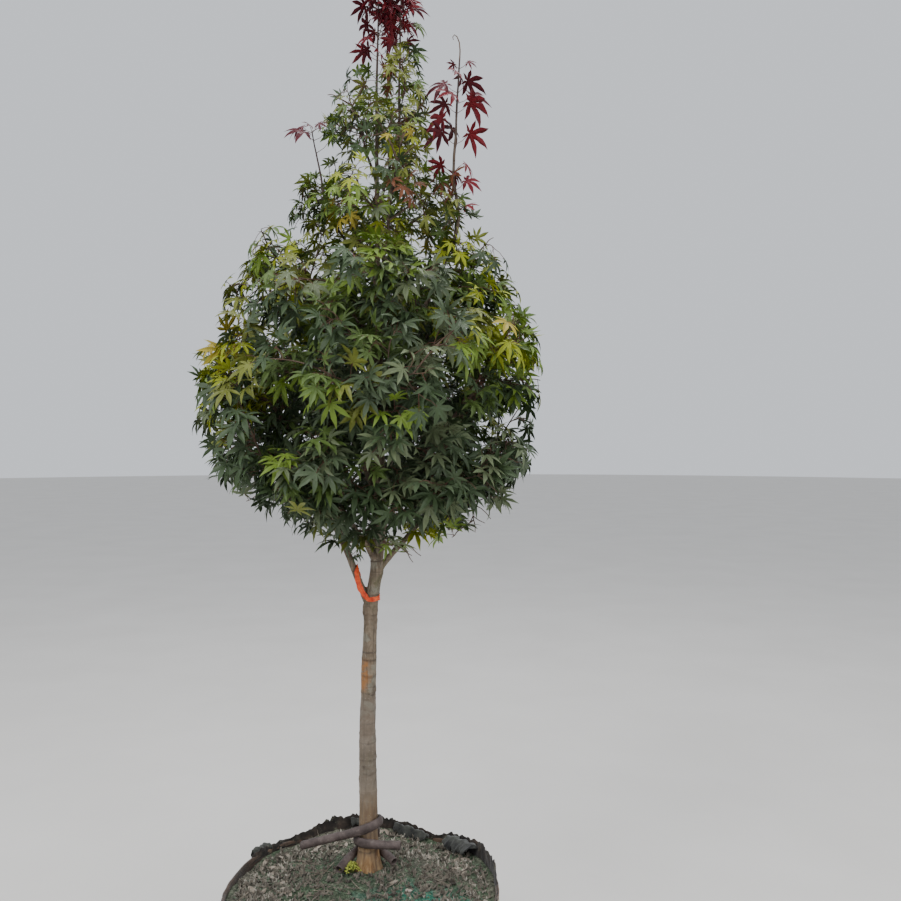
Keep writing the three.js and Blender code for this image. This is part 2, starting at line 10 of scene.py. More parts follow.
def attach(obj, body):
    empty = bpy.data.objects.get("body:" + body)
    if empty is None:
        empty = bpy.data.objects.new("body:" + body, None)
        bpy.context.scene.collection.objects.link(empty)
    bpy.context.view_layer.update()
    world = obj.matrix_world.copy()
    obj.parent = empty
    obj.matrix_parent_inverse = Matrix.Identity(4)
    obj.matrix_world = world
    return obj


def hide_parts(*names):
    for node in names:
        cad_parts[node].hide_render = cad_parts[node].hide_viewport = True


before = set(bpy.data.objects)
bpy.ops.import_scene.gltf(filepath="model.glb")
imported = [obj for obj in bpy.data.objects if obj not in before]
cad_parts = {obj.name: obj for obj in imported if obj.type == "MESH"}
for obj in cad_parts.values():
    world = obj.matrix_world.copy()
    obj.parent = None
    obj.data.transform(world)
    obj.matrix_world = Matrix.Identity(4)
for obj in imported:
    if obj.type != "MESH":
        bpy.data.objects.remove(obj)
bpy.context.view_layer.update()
print("frame loaded, nodes:", len(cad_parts))

up = np.array([0.0, 0.0, 1.0])
fullTurn = 2 * math.pi


# Small tools for numbers, lines and meshes
def unit(vector):
    return vector / max(1e-9, float(np.linalg.norm(vector)))


def clamped(value):
    return max(0.0, min(1.0, value))


def into(value, start, fade):
    # how far a value is past the start of a zone that fades in over fade
    return clamped((value - start) / fade)


def outAt(angle):
    return np.array([math.cos(angle), math.sin(angle), 0.0])


def outsAt(angles):
    return np.stack([np.cos(angles), np.sin(angles), np.zeros_like(angles)], axis=-1)


def ringOf(angles, radius, z):
    radius, z = (np.broadcast_to(value, angles.shape)[:, None] for value in (radius, z))
    return outsAt(angles) * radius + up * z


def turnsOf(count):
    return np.arange(count) * fullTurn / count


def bell(x):
    return np.exp(-(x**2))


def unitRows(vectors):
    return vectors / np.linalg.norm(vectors, axis=-1)[..., None]


def bentLine(start, turn, end, count):
    # from start towards turn and on to end
    t = np.linspace(0, 1, count)[:, None]
    return (1 - t) ** 2 * start + 2 * t * (1 - t) * turn + t * t * end


def columnsAt(x, places, rows):
    # every column of rows, read at x along places
    return np.stack([np.interp(x, places, column) for column in np.asarray(rows).T], axis=-1)


def smoothed(rows, width, mode="edge"):
    # every column through a window of an odd width
    kernel = np.hanning(width) / np.hanning(width).sum()
    padded = [np.pad(column, width // 2, mode=mode) for column in rows.T]
    return np.stack([np.convolve(column, kernel, mode="valid") for column in padded], axis=1)


def lengthOf(points):
    return float(np.linalg.norm(np.diff(points, axis=0), axis=1).sum())


def lengthsAlong(points):
    return np.concatenate([[0], np.cumsum(np.linalg.norm(np.diff(points, axis=0), axis=1))])


def resample(points, count):
    along = lengthsAlong(points)
    return columnsAt(np.linspace(0, along[-1], count), along, points)


def partOf(line, first, last, count):
    return columnsAt(np.linspace(first, last, count) * (len(line) - 1), np.arange(len(line)), line)


def noiseAt(points, scale, shift=0.0, octaves=3):
    flat = points.reshape(-1, 3) * scale + shift
    values = [noise.fractal(Vector(p), 0.6, 2.0, octaves) for p in flat]
    return np.array(values).reshape(points.shape[:-1])


def linked(name, data):
    thing = bpy.data.objects.new(name, data)
    bpy.context.scene.collection.objects.link(thing)
    return thing


def meshOf(name, points, edges=(), faces=()):
    mesh = bpy.data.meshes.new(name)
    mesh.from_pydata([tuple(p) for p in points], list(edges), [tuple(f) for f in faces])
    return mesh


def markPoints(piece, **marks):
    # a number or a direction at each point, for shaders and node trees
    for name, values in marks.items():
        values = np.asarray(values)
        whole, flat = values.dtype.kind == "i", values.ndim == 1
        kind = "INT" if whole else "FLOAT" if flat else "FLOAT_VECTOR"
        data = piece.data.attributes.new(name, kind, "POINT").data
        data.foreach_set("value" if flat else "vector", values.astype(np.int32 if whole else np.float32).ravel())


def addNode(tree, kind, inputs=None, **settings):
    # a node with its settings, and its inputs by link or by value
    node = tree.nodes.new(kind)
    for key, value in settings.items():
        setattr(node, key, value)
    for key, value in (inputs or {}).items():
        if isinstance(value, bpy.types.NodeSocket):
            tree.links.new(value, node.inputs[key])
        else:
            node.inputs[key].default_value = value
    return node


# Camera, light and floor
view = {
    "place": (0.241, -2.432, 1.606),  # eye height over level ground
    "tiltDown": 0.67,  # degrees
    "lens": 35.96,
    "sensor": 36.0,
    "farthest": 60,
}


def makeCamera():
    data = bpy.data.cameras.new("photoView")
    data.lens = view["lens"]
    data.sensor_width = view["sensor"]
    data.clip_end = view["farthest"]
    camera = linked("photoView", data)
    camera.location = view["place"]
    camera.rotation_euler = (math.radians(90 - view["tiltDown"]), 0, 0)
    bpy.context.scene.camera = camera


studio = {
    "sky": (0.86, 0.9, 0.96, 1),
    "skyStrength": 0.90,
    "floor": [(0.3, (0.62, 0.6, 0.57)), (0.7, (0.66, 0.64, 0.61))],
    "floorReach": 40.0,
    "floorSides": 64,
    # name, place, aim, width, watts
    "lamps": [
        ("keySoft", (-2.6, -3.4, 5.2), (0, 0, 1.5), 3.2, 210),
        ("topSoft", (0.8, 1.2, 6.5), (0, 0, 1.5), 4.0, 230),
        ("fillSoft", (3.6, -2.6, 2.4), (0, 0, 1.3), 3.0, 60),
    ],
}


def makeStudio():
    world = bpy.data.worlds.new("paleSky")
    world.use_nodes = True
    sky = world.node_tree.nodes["Background"]
    sky.inputs["Color"].default_value = studio["sky"]
    sky.inputs["Strength"].default_value = studio["skyStrength"]
    bpy.context.scene.world = world
    for name, place, aim, width, watts in studio["lamps"]:
        data = bpy.data.lights.new(name, "AREA")
        data.shape, data.size, data.energy = "DISK", width, watts
        lamp = linked(name, data)
        lamp.location = place
        lamp.rotation_euler = (Vector(aim) - Vector(place)).to_track_quat("-Z", "Y").to_euler()
    sides = studio["floorSides"]
    corners = [outAt(fullTurn * i / sides) * studio["floorReach"] for i in range(sides)]
    finish = Finish("paleFloor", 0.9)
    finish.under(finish.noise(1.5), studio["floor"])
    meshObject("studioFloor", corners, [range(sides)], finish.done())


# Finishes: short hand for one material. Its colour starts with under, and over lays more on it.
class Finish:
    def __init__(self, name, roughness, sheen=0.0, specular=0.5):
        self.material = bpy.data.materials.new(name)
        self.material.use_nodes = True
        self.tree = self.material.node_tree
        self.shader = self.tree.nodes["Principled BSDF"]
        self.base = None
        values = {"Roughness": roughness, "Sheen Weight": sheen, "Specular IOR Level": specular}
        for socket, value in values.items():
            self.shader.inputs[socket].default_value = value
        self.place = self.add("ShaderNodeTexCoord").outputs["Object"]
        self.x, _, self.z = self.add("ShaderNodeSeparateXYZ", {0: self.place}).outputs

    def add(self, kind, inputs=None, **settings):
        return addNode(self.tree, kind, inputs, **settings)

    def stretched(self, scale, shift=(0, 0, 0)):
        node = self.add("ShaderNodeMapping", {"Vector": self.place, "Scale": scale, "Location": shift})
        return node.outputs["Vector"]

    def noise(self, scale, detail=4.0, rough=0.55, place=None, warp=0.0):
        values = {"Scale": scale, "Detail": detail, "Roughness": rough, "Distortion": warp}
        return self.add("ShaderNodeTexNoise", {"Vector": place or self.place, **values}).outputs["Fac"]

    def cells(self, scale, place=None, edges=False):
        feature = "DISTANCE_TO_EDGE" if edges else "F1"
        node = self.add("ShaderNodeTexVoronoi", {"Vector": place or self.place, "Scale": scale}, feature=feature)
        return node.outputs["Distance"]

    def ramp(self, value, stops):
        # stops: place and colour
        node = self.add("ShaderNodeValToRGB", {"Fac": value})
        elements = node.color_ramp.elements
        while len(elements) < len(stops):
            elements.new(0.5)
        for element, (place, colour) in zip(elements, stops):
            element.position = place
            element.color = (*colour, 1)
        return node.outputs["Color"]

    def mask(self, value, low, high):
        # 0 at low and 1 at high, whichever of them is the greater
        return self.ramp(value, sorted([(low, (0, 0, 0)), (high, (1, 1, 1))]))

    def sum(self, first, second, kind="ADD"):
        return self.add("ShaderNodeMath", {0: first, 1: second}, operation=kind).outputs["Value"]

    def times(self, first, second):
        return self.sum(first, second, "MULTIPLY")

    def band(self, low, high, soft):
        # 1 between two heights, fading over soft
        half = (high - low) / 2
        away = self.sum(self.sum(self.z, (low + high) / 2, "SUBTRACT"), 0.0, "ABSOLUTE")
        values = {"Value": away, "From Min": half + soft, "From Max": half}
        return self.add("ShaderNodeMapRange", values, interpolation_type="SMOOTHSTEP").outputs["Result"]

    def under(self, value, stops):
        self.base = self.ramp(value, stops)

    def over(self, share, colour):
        colour = (*colour, 1) if isinstance(colour, tuple) else colour
        node = self.add("ShaderNodeMix", {"Factor": share, 6: self.base, 7: colour}, data_type="RGBA")
        self.base = node.outputs[2]

    def stain(self, value, low, high, colour, share=None):
        # a colour where the value is past low, in full at high
        mask = self.mask(value, low, high)
        self.over(mask if share is None else self.times(mask, share), colour)

    def roughness(self, value, low, high):
        node = self.add("ShaderNodeMapRange", {"Value": value, "To Min": low, "To Max": high})
        self.tree.links.new(node.outputs["Result"], self.shader.inputs["Roughness"])

    def bump(self, value, depth, strength):
        node = self.add("ShaderNodeBump", {"Height": value, "Distance": depth, "Strength": strength})
        socket = self.shader.inputs["Normal"]
        if socket.is_linked:
            self.tree.links.new(socket.links[0].from_socket, node.inputs["Normal"])
        self.tree.links.new(node.outputs["Normal"], socket)

    def done(self):
        self.tree.links.new(self.base, self.shader.inputs["Base Color"])
        return self.material


def shades(colour, stops):
    # ramp stops of one colour: place and how bright
    return [(place, tuple(min(1.0, c * factor) for c in colour)) for place, factor in stops]


# Meshes
def meshObject(name, points, faces, material, smooth=False):
    mesh = meshOf(name, points, (), faces)
    mesh.update()
    mesh.materials.append(material)
    if smooth:
        mesh.polygons.foreach_set("use_smooth", [True] * len(mesh.polygons))
    return linked(name, mesh)


class Shell:
    # points and faces of one piece, filled by lofts
    def __init__(self):
        self.points = []
        self.faces = []

    def loft(self, rings, closedPath=False):
        rows, columns = rings.shape[:2]
        start = len(self.points)
        self.points.extend(rings.reshape(-1, 3))
        for i in range(rows if closedPath else rows - 1):
            here = start + i * columns
            there = start + ((i + 1) % rows) * columns
            for j in range(columns):
                k = (j + 1) % columns
                self.faces.append((here + j, here + k, there + k, there + j))
        if not closedPath:
            self.cap(start, columns, rings[0].mean(axis=0), True)
            self.cap(start + (rows - 1) * columns, columns, rings[-1].mean(axis=0), False)
        return self

    def cap(self, first, columns, middle, turned):
        centre = len(self.points)
        self.points.append(middle)
        for j in range(columns):
            k = (j + 1) % columns
            pair = (first + k, first + j) if turned else (first + j, first + k)
            self.faces.append((*pair, centre))

    def sheet(self, face, back):
        # two grids of rows and columns, joined along their borders
        return self.loft(np.concatenate([face.transpose(1, 0, 2), back[::-1].transpose(1, 0, 2)], axis=1)[::-1])

    def strip(self, path, across, half, thickness, columns=9):
        # a flat band along a path: across is the direction of its width at each point
        across = np.broadcast_to(across, path.shape)
        normals = unitRows(np.cross(np.gradient(path, axis=0), across))
        half = np.broadcast_to(half, len(path))[:, None]
        rings = []
        for side in (1, -1):
            for share in np.linspace(-side, side, columns):
                stand = normals * side * thickness / 2 * (1 - 0.4 * abs(share) ** 6)
                rings.append(path + across * half * share + stand)
        return self.loft(np.stack(rings, axis=1))

    def piece(self, name, material):
        return meshObject(name, self.points, self.faces, material, smooth=True)


def lineFrames(points):
    tangents = unitRows(np.gradient(points, axis=0))
    side = np.array([1.0, 0.3, 0.1])
    sides = []
    for tangent in tangents:
        side = unit(side - tangent * side.dot(tangent))
        sides.append(side)
    sides = np.array(sides)
    return sides, np.cross(tangents, sides)


def tubeRings(points, radii, columns):
    sides, tops = lineFrames(points)
    angles = turnsOf(columns)
    across = sides[:, None] * np.cos(angles)[None, :, None] + tops[:, None] * np.sin(angles)[None, :, None]
    radii = np.asarray(radii)
    if radii.ndim == 1:
        radii = radii[:, None]
    return points[:, None] + across * radii[..., None], across, angles


# Geometry Nodes: the twig, scatter and litter trees, each used for several pieces
def newTree(name, **sockets):
    tree = bpy.data.node_groups.new(name, "GeometryNodeTree")
    tree.interface.new_socket("Geometry", in_out="OUTPUT", socket_type="NodeSocketGeometry")
    for label, kind in {"Geometry": "Geometry", **sockets}.items():
        tree.interface.new_socket(label, in_out="INPUT", socket_type="NodeSocket" + kind)
    return tree, tree.nodes.new("NodeGroupInput").outputs


def attributeOf(tree, name, kind="FLOAT"):
    return addNode(tree, "GeometryNodeInputNamedAttribute", {"Name": name}, data_type=kind).outputs["Attribute"]


def endTree(tree, geometry, given, smooth):
    whole = addNode(tree, "GeometryNodeRealizeInstances", {"Geometry": geometry})
    shaded = addNode(tree, "GeometryNodeSetShadeSmooth", {"Geometry": whole.outputs[0], "Shade Smooth": smooth})
    values = {"Geometry": shaded.outputs[0], "Material": given["Material"]}
    skin = addNode(tree, "GeometryNodeSetMaterial", values)
    addNode(tree, "NodeGroupOutput", {"Geometry": skin.outputs[0]})
    return tree


def twigTree():
    # edges with a thickness become tubes
    tree, given = newTree("twigTree", Sides="Int", Material="Material")
    line = addNode(tree, "GeometryNodeMeshToCurve", {"Mesh": given["Geometry"]})
    ring = addNode(tree, "GeometryNodeCurvePrimitiveCircle", {"Radius": 1.0, "Resolution": given["Sides"]})
    tube = addNode(tree, "GeometryNodeCurveToMesh", {
        "Curve": line.outputs["Curve"], "Profile Curve": ring.outputs["Curve"],
        "Scale": attributeOf(tree, "thickness"), "Fill Caps": True})
    return endTree(tree, tube.outputs["Mesh"], given, True)


def withForms(tree, given, points, pick, turn, size):
    # one of the forms on each point
    forms = addNode(tree, "GeometryNodeCollectionInfo", {"Collection": given["Forms"], "Separate Children": True})
    place = addNode(tree, "GeometryNodeInstanceOnPoints", {
        "Points": points, "Instance": forms.outputs["Instances"], "Pick Instance": True,
        "Instance Index": pick, "Rotation": turn, "Scale": size})
    return endTree(tree, place.outputs["Instances"], given, False)


def scatterTree():
    # points with a face and a heading get one of the forms each
    tree, given = newTree("scatterTree", Forms="Collection", Material="Material")
    axes = {"Primary Axis": "facing", "Secondary Axis": "heading"}
    axes = {socket: attributeOf(tree, name, "FLOAT_VECTOR") for socket, name in axes.items()}
    turn = addNode(tree, "FunctionNodeAxesToRotation", axes, primary_axis="Z", secondary_axis="Y").outputs[0]
    pick, size = attributeOf(tree, "form", "INT"), attributeOf(tree, "size")
    return withForms(tree, given, given["Geometry"], pick, turn, size)


def litterTree():
    # forms strewn over a surface where its cover is high
    tree, given = newTree("litterTree", Forms="Collection", Material="Material", Density="Float", Seed="Int",
                          Smallest="Float", Largest="Float", Tilt="Float")

    def times(first, second):
        return addNode(tree, "ShaderNodeMath", {0: first, 1: second}, operation="MULTIPLY").outputs["Value"]

    def drawn(seed, low, high, kind="FLOAT"):
        first, result = (2, 1) if kind == "FLOAT" else (4, 2)
        values = {"Seed": seed, first: low, first + 1: high}
        return addNode(tree, "FunctionNodeRandomValue", values, data_type=kind).outputs[result]

    spread = addNode(tree, "GeometryNodeDistributePointsOnFaces", {
        "Mesh": given["Geometry"], "Seed": given["Seed"],
        "Density": times(attributeOf(tree, "cover"), given["Density"])}, distribute_method="RANDOM")
    limits = [(times(given["Tilt"], -1.0), given["Tilt"])] * 2 + [(0.0, fullTurn)]
    spins = {k: drawn(k + 3, *limit) for k, limit in enumerate(limits)}
    spin = addNode(tree, "ShaderNodeCombineXYZ", spins).outputs[0]
    spin = addNode(tree, "FunctionNodeEulerToRotation", {0: spin}).outputs[0]
    turns = {0: spread.outputs["Rotation"], 1: spin}
    turn = addNode(tree, "FunctionNodeRotateRotation", turns, rotation_space="LOCAL")
    pick, size = drawn(12, 0, 60, "INT"), drawn(11, given["Smallest"], given["Largest"])
    return withForms(tree, given, spread.outputs["Points"], pick, turn.outputs[0], size)


def runNodes(name, carrier, tree, **values):
    modifier = carrier.modifiers.new("nodes", "NODES")
    modifier.node_group = tree
    for item in tree.interface.items_tree:
        if item.in_out == "INPUT" and item.name in values:
            modifier[item.identifier] = values[item.name]
    bpy.context.view_layer.update()
    seen = carrier.evaluated_get(bpy.context.evaluated_depsgraph_get())
    mesh = bpy.data.meshes.new_from_object(seen, preserve_all_data_layers=False)
    carrier.modifiers.remove(modifier)
    bpy.data.objects.remove(carrier)
    mesh.name = name
    print(name, "faces:", len(mesh.polygons))
    return linked(name, mesh)


def formCollection(name, forms):
    collection = bpy.data.collections.new(name)
    for i, (points, faces) in enumerate(forms):
        mesh = meshOf(f"{name}{i:02d}", points, (), faces)
        collection.objects.link(bpy.data.objects.new(mesh.name, mesh))
    return collection


def pointCarrier(name, rows):
    # rows: place, facing, heading, size, form
    places, facings, headings, sizes, forms = zip(*rows)
    carrier = linked(name, meshOf(name, places))
    markPoints(carrier, facing=facings, heading=headings, size=sizes, form=forms)
    return carrier


def lineCarrier(name, lines):
    # lines: points and the radius at each
    points, edges, radii = [], [], []
    for line, thick in lines:
        start = len(points)
        points.extend(line)
        radii.extend(thick)
        edges.extend((start + i, start + i + 1) for i in range(len(line) - 1))
    carrier = linked(name, meshOf(name, points, edges))
    markPoints(carrier, thickness=radii)
    return carrier


# The tree's frame: trunk, crown outline and limbs, in metres
trunkShape = {
    "foot": (0.013, 0.055, 0.4213),
    "flareHeight": 0.07,
    "flareOut": 0.42,  # of the radius, at the ground
    "flareLobes": 5,
    # height, x, y, radius
    "line": [
        (0.4213, 0.013, 0.055, 0.029),
        (0.6113, 0.013, 0.055, 0.025),
        (0.770, 0.011, 0.055, 0.0232),
        (0.950, 0.014, 0.055, 0.0205),
        (1.060, 0.018, 0.055, 0.0188),
        (1.150, 0.021, 0.055, 0.0182),
        (1.258, 0.038, 0.052, 0.0164),
        (1.377, 0.046, 0.050, 0.0152),
        (1.700, 0.045, 0.050, 0.0120),
        (2.100, 0.040, 0.050, 0.0078),
        (2.440, 0.038, 0.050, 0.0046),
    ],
}

crown = {
    "axis": (0.040, 0.050),
    # height, reach to the left, reach to the right
    "line": [
        (1.255, 0.060, 0.040),
        (1.302, 0.150, 0.110),
        (1.371, 0.290, 0.300),
        (1.420, 0.340, 0.385),
        (1.495, 0.455, 0.435),
        (1.612, 0.505, 0.455),
        (1.830, 0.500, 0.460),
        (1.952, 0.450, 0.435),
        (2.050, 0.390, 0.385),
        (2.118, 0.345, 0.335),
        (2.200, 0.280, 0.290),
        (2.280, 0.235, 0.235),
        (2.400, 0.190, 0.175),
        (2.480, 0.150, 0.165),
        (2.574, 0.105, 0.150),
        (2.680, 0.085, 0.140),
        (2.800, 0.095, 0.125),
        (2.900, 0.080, 0.080),
        (3.000, 0.045, 0.045),
    ],
    "leaveStep": 0.028,  # between the heights where limbs of a tier leave
    "entryDepth": 0.012,
    "traceSteps": 40,
    "taper": 0.66,
}

# name, angles, leave, rise, middle, middle reach, tip, tip reach, stagger, clear, radius, pairs, leaf size
tiers = [
    ("lower", (18, 90, 238, 308), 1.235, 0.175, 1.465, 0.270, 1.525, 0.345, 0.028, 0.125, 0.009, 3, 1.0),
    ("middle", (345, 54, 128, 272), 1.400, 0.210, 1.740, 0.285, 1.800, 0.385, 0.065, 0.115, 0.008, 3, 1.0),
    ("upper", (12, 104, 190, 282), 1.650, 0.230, 1.990, 0.205, 2.065, 0.290, 0.055, 0.090, 0.0065, 3, 0.95),
    ("high", (60, 172, 296), 1.960, 0.180, 2.230, 0.125, 2.330, 0.165, 0.045, 0.062, 0.005, 2, 0.9),
    ("top", (20, 205), 2.220, 0.110, 2.455, 0.068, 2.560, 0.080, 0.030, 0.040, 0.004, 2, 0.85),
]

# name, middle, clear, radius, pairs, spread, leaf size, line
shoots = [
    ("second_stem", (-0.235, 0.012, 1.740), 0.150, 0.0102, 3, 0, 1.0, [
        (0.020, 0.055, 1.140), (-0.004, 0.050, 1.195), (-0.051, 0.045, 1.315), (-0.108, 0.040, 1.470),
        (-0.172, 0.034, 1.600), (-0.262, 0.026, 1.715), (-0.345, 0.020, 1.790)]),
    ("low_left", (-0.225, 0.100, 1.480), 0.120, 0.007, 3, 0, 1.0, [
        (-0.050, 0.045, 1.312), (-0.104, 0.066, 1.400), (-0.190, 0.092, 1.475), (-0.325, 0.120, 1.540)]),
    ("red_shoot", (0.262, 0.044, 2.470), 0, 0.007, 3, 0.115, 0.85, [
        (0.044, 0.050, 1.790), (0.118, 0.046, 1.905), (0.184, 0.042, 1.993), (0.234, 0.042, 2.112),
        (0.262, 0.044, 2.200), (0.250, 0.044, 2.330), (0.258, 0.044, 2.504), (0.266, 0.044, 2.650)]),
    ("left_shoot", (-0.150, 0.040, 2.440), 0, 0.005, 1, 0.105, 0.8, [
        (0.042, 0.050, 2.040), (-0.030, 0.044, 2.130), (-0.092, 0.040, 2.230), (-0.120, 0.040, 2.350),
        (-0.138, 0.040, 2.450)]),
    ("leader", (0.036, 0.050, 2.790), 0, 0.0044, 4, 0.110, 0.8, [
        (0.038, 0.050, 2.440), (0.038, 0.050, 2.560), (0.042, 0.050, 2.720), (0.046, 0.050, 2.930)]),
    ("leader_right", (0.112, 0.046, 2.750), 0, 0.005, 3, 0.105, 0.8, [
        (0.041, 0.050, 2.150), (0.072, 0.048, 2.270), (0.096, 0.046, 2.400), (0.101, 0.046, 2.560),
        (0.103, 0.046, 2.720), (0.106, 0.046, 2.870)]),
]


def numbersFrom(seed):
    # a fixed run of numbers between 0 and 1, from the seed
    modulus, factor = 2147483647, 48271
    state = (seed * 7919 + 101) * factor**2 % modulus
    while True:
        state = state * factor % modulus
        yield state / modulus


def trunkAt(z):
    rows = np.array(trunkShape["line"])
    return columnsAt(z, rows[:, 0], rows[:, 1:]).tolist()


def crownReach(p):
    rows = np.array(crown["line"])
    left, right = columnsAt(p[2], rows[:, 0], rows[:, 1:]).tolist()
    across = p[0] - crown["axis"][0]
    out = math.hypot(across, p[1] - crown["axis"][1]) or 1
    return left + (right - left) * (0.5 + 0.5 * across / out)


def fromAxis(p):
    return math.hypot(p[0] - crown["axis"][0], p[1] - crown["axis"][1])


def insideReach(p, row, spare=0.0):
    if row["spread"]:
        return float(np.linalg.norm(row["trace"] - p, axis=1).min()) < row["spread"] + spare
    low, high = crown["line"][0][0], crown["line"][-1][0]
    return low - spare < p[2] < high + spare and fromAxis(p) < crownReach(p) + spare


def smoothLine(points, count=240):
    # centripetal curve through the points
    points = [np.array(p, float) for p in points]
    points = [2 * points[0] - points[1], *points, 2 * points[-1] - points[-2]]
    line = []
    for i in range(1, len(points) - 2):
        p0, p1, p2, p3 = points[i - 1 : i + 3]
        d0, d1, d2 = (max(1e-4, float(np.linalg.norm(b - a))) ** 0.5 for a, b in ((p0, p1), (p1, p2), (p2, p3)))
        t1 = ((p1 - p0) / d0 - (p2 - p0) / (d0 + d1) + (p2 - p1) / d1) * d1
        t2 = ((p2 - p1) / d1 - (p3 - p1) / (d1 + d2) + (p3 - p2) / d2) * d1
        for t in np.linspace(0, 1, 40, endpoint=False):
            cubic = 2 * p1 - 2 * p2 + t1 + t2
            square = -3 * p1 + 3 * p2 - 2 * t1 - t2
            line.append(((cubic * t + square) * t + t1) * t + p1)
    line.append(points[-2])
    return resample(np.array(line), count)


def limbPlan():
    plan = []

    def limb(name, line, middle, clear, radius, pairs, size, spread=0):
        plan.append({
            "name": name, "line": line, "middle": middle, "clear": clear, "radius": radius, "pairs": pairs,
            "size": size, "spread": spread, "number": len(plan), "seed": len(plan) + 11,
            "trace": resample(line, crown["traceSteps"] + 1),
        })

    axis = np.array([*crown["axis"], 0.0])
    for name, angles, leave, rise, middle, middleReach, tip, tipReach, stagger, *rest in tiers:
        for i, degrees in enumerate(angles):
            out = outAt(math.radians(degrees))
            leaveZ = leave + crown["leaveStep"] * ((i * 3) % 5)
            x, y, _ = trunkAt(leaveZ)
            start = np.array([x, y, leaveZ])
            lift = -stagger if i % 2 else stagger
            end = axis + out * tipReach + up * (tip + lift)
            turnAt = start + out * tipReach * 0.4 + up * rise
            line = resample(bentLine(start, turnAt, end, 160), 240)
            limb(f"{name}_{i + 1}", line, axis + out * middleReach + up * (middle + lift), *rest)
    for name, middle, clear, radius, pairs, spread, size, line in shoots:
        limb(name, smoothLine(line), np.array(middle), clear, radius, pairs, size, spread)
    for row in plan:
        row["entry"] = 0.0 if row["name"] == "leader" else entryShare(row, plan)
    return plan


def limbNamed(plan, name):
    return next(row for row in plan if row["name"] == name)


def entryShare(row, plan):
    for i, p in enumerate(row["trace"]):
        depth = math.inf
        for other in plan:
            if other is not row:
                apart = np.linalg.norm(other["middle"] - row["middle"])
                away = ((p - other["middle"]) ** 2).sum() - ((p - row["middle"]) ** 2).sum()
                depth = min(depth, away / (2 * apart))
        if i > 0 and fromAxis(p) > row["clear"] and depth > crown["entryDepth"]:
            return i / crown["traceSteps"]
    return 0.5


# Bark
bark = {
    "trunkColumns": 64,
    "trunkStep": 0.004,
    "boughColumns": 16,
    "boughStep": 0.006,
    "buried": 0.010,  # of the foot, under the litter
    "ringGap": (0.035, 0.085),
    "ringHeight": 0.0008,
    # how dark the painted shade under each ring ridge is, least and most
    "ringShade": (0.12, 0.75),
    "ringWidth": (0.0022, 0.0042),
    "smoothing": 15,
    "swell": 0.0011,
    "grain": 0.0005,
    "furrow": 0.0009,
    "furrowStretch": 0.08,
    "collar": 0.42,  # of the limb's radius
    "tipColumns": 12,
    "tipSteps": 90,
    "knots": 26,
    "knotHeight": 0.0035,
    "forkKnot": (1.190, 212, 0.0085),  # height, degrees round the trunk, width
}


def barkFinish():
    finish = Finish("maple bark", 0.82, specular=0.3)
    broad = finish.noise(9, 5, 0.6)
    finish.under(broad, [
        (0.30, (0.074, 0.054, 0.034)), (0.46, (0.146, 0.110, 0.074)),
        (0.58, (0.212, 0.166, 0.116)), (0.74, (0.272, 0.224, 0.162))])
    # pink, grey and olive patches, then fine rings, streaks and mottling
    finish.stain(finish.noise(4.2, 2, 0.5), 0.48, 0.68, (0.186, 0.132, 0.092))
    finish.stain(finish.noise(16, 4, 0.65, warp=0.6), 0.56, 0.64, (0.214, 0.196, 0.150))
    finish.stain(finish.noise(12, 4, 0.7, warp=0.5), 0.58, 0.68, (0.105, 0.100, 0.050), 0.7)
    fine = finish.noise(1, 3, 0.6, finish.stretched((7, 7, 120)))
    finish.stain(fine, 0.58, 0.70, (0.070, 0.050, 0.038))
    streaks = finish.noise(1, 3, 0.6, finish.stretched((150, 150, 9)))
    finish.stain(streaks, 0.50, 0.68, (0.078, 0.060, 0.042))
    mottled = finish.noise(75, 5, 0.75, finish.stretched((1, 1, 0.45)), 0.8)
    finish.stain(mottled, 0.50, 0.62, (0.085, 0.066, 0.047), 0.55)
    finish.stain(mottled, 0.44, 0.34, (0.260, 0.225, 0.178), 0.55)
    # greyer low down, orange on the left below the fork, tan at the foot
    low = finish.times(finish.band(0.42, 0.86, 0.10), 0.55)
    finish.over(low, finish.ramp(broad, [(0.34, (0.112, 0.090, 0.068)), (0.66, (0.236, 0.202, 0.164))]))
    ragged = finish.times(finish.noise(42, 4, 0.6), 0.080)
    leftSide = finish.mask(finish.sum(finish.x, ragged), 0.062, 0.048)
    warm = finish.times(finish.band(0.930, 0.985, 0.026), leftSide)
    warm = finish.times(warm, finish.mask(finish.noise(38, 4, 0.7, warp=0.5), 0.36, 0.50))
    finish.over(finish.times(warm, 0.9), (0.290, 0.130, 0.045))
    under = finish.times(finish.band(0.30, 0.480, 0.04), 0.62)
    over = finish.times(finish.band(0.30, 0.575, 0.09), 0.38)
    foot = finish.times(finish.sum(under, over), finish.mask(finish.noise(11, 4), 0.20, 0.46))
    finish.over(foot, finish.ramp(streaks, [
        (0.35, (0.110, 0.055, 0.026)), (0.52, (0.255, 0.148, 0.066)), (0.72, (0.360, 0.240, 0.115))]))
    spots = finish.cells(1, finish.stretched((95, 95, 210)))
    finish.stain(spots, 0.16, 0.10, (0.280, 0.240, 0.195), 0.7)
    # ring: painted shade under each ridge, and the dark middles of the scars; young: the colour of new shoots
    for name, colour in (("ring", (0.045, 0.030, 0.022)), ("young", (0.062, 0.040, 0.034))):
        finish.over(finish.add("ShaderNodeAttribute", attribute_name=name).outputs["Fac"], colour)
    finish.roughness(broad, 0.70, 0.94)
    finish.bump(fine, 0.0010, 0.7)
    finish.bump(finish.noise(160, 4, 0.65), 0.0006, 0.8)
    finish.bump(streaks, 0.0006, 0.5)
    return finish.done()


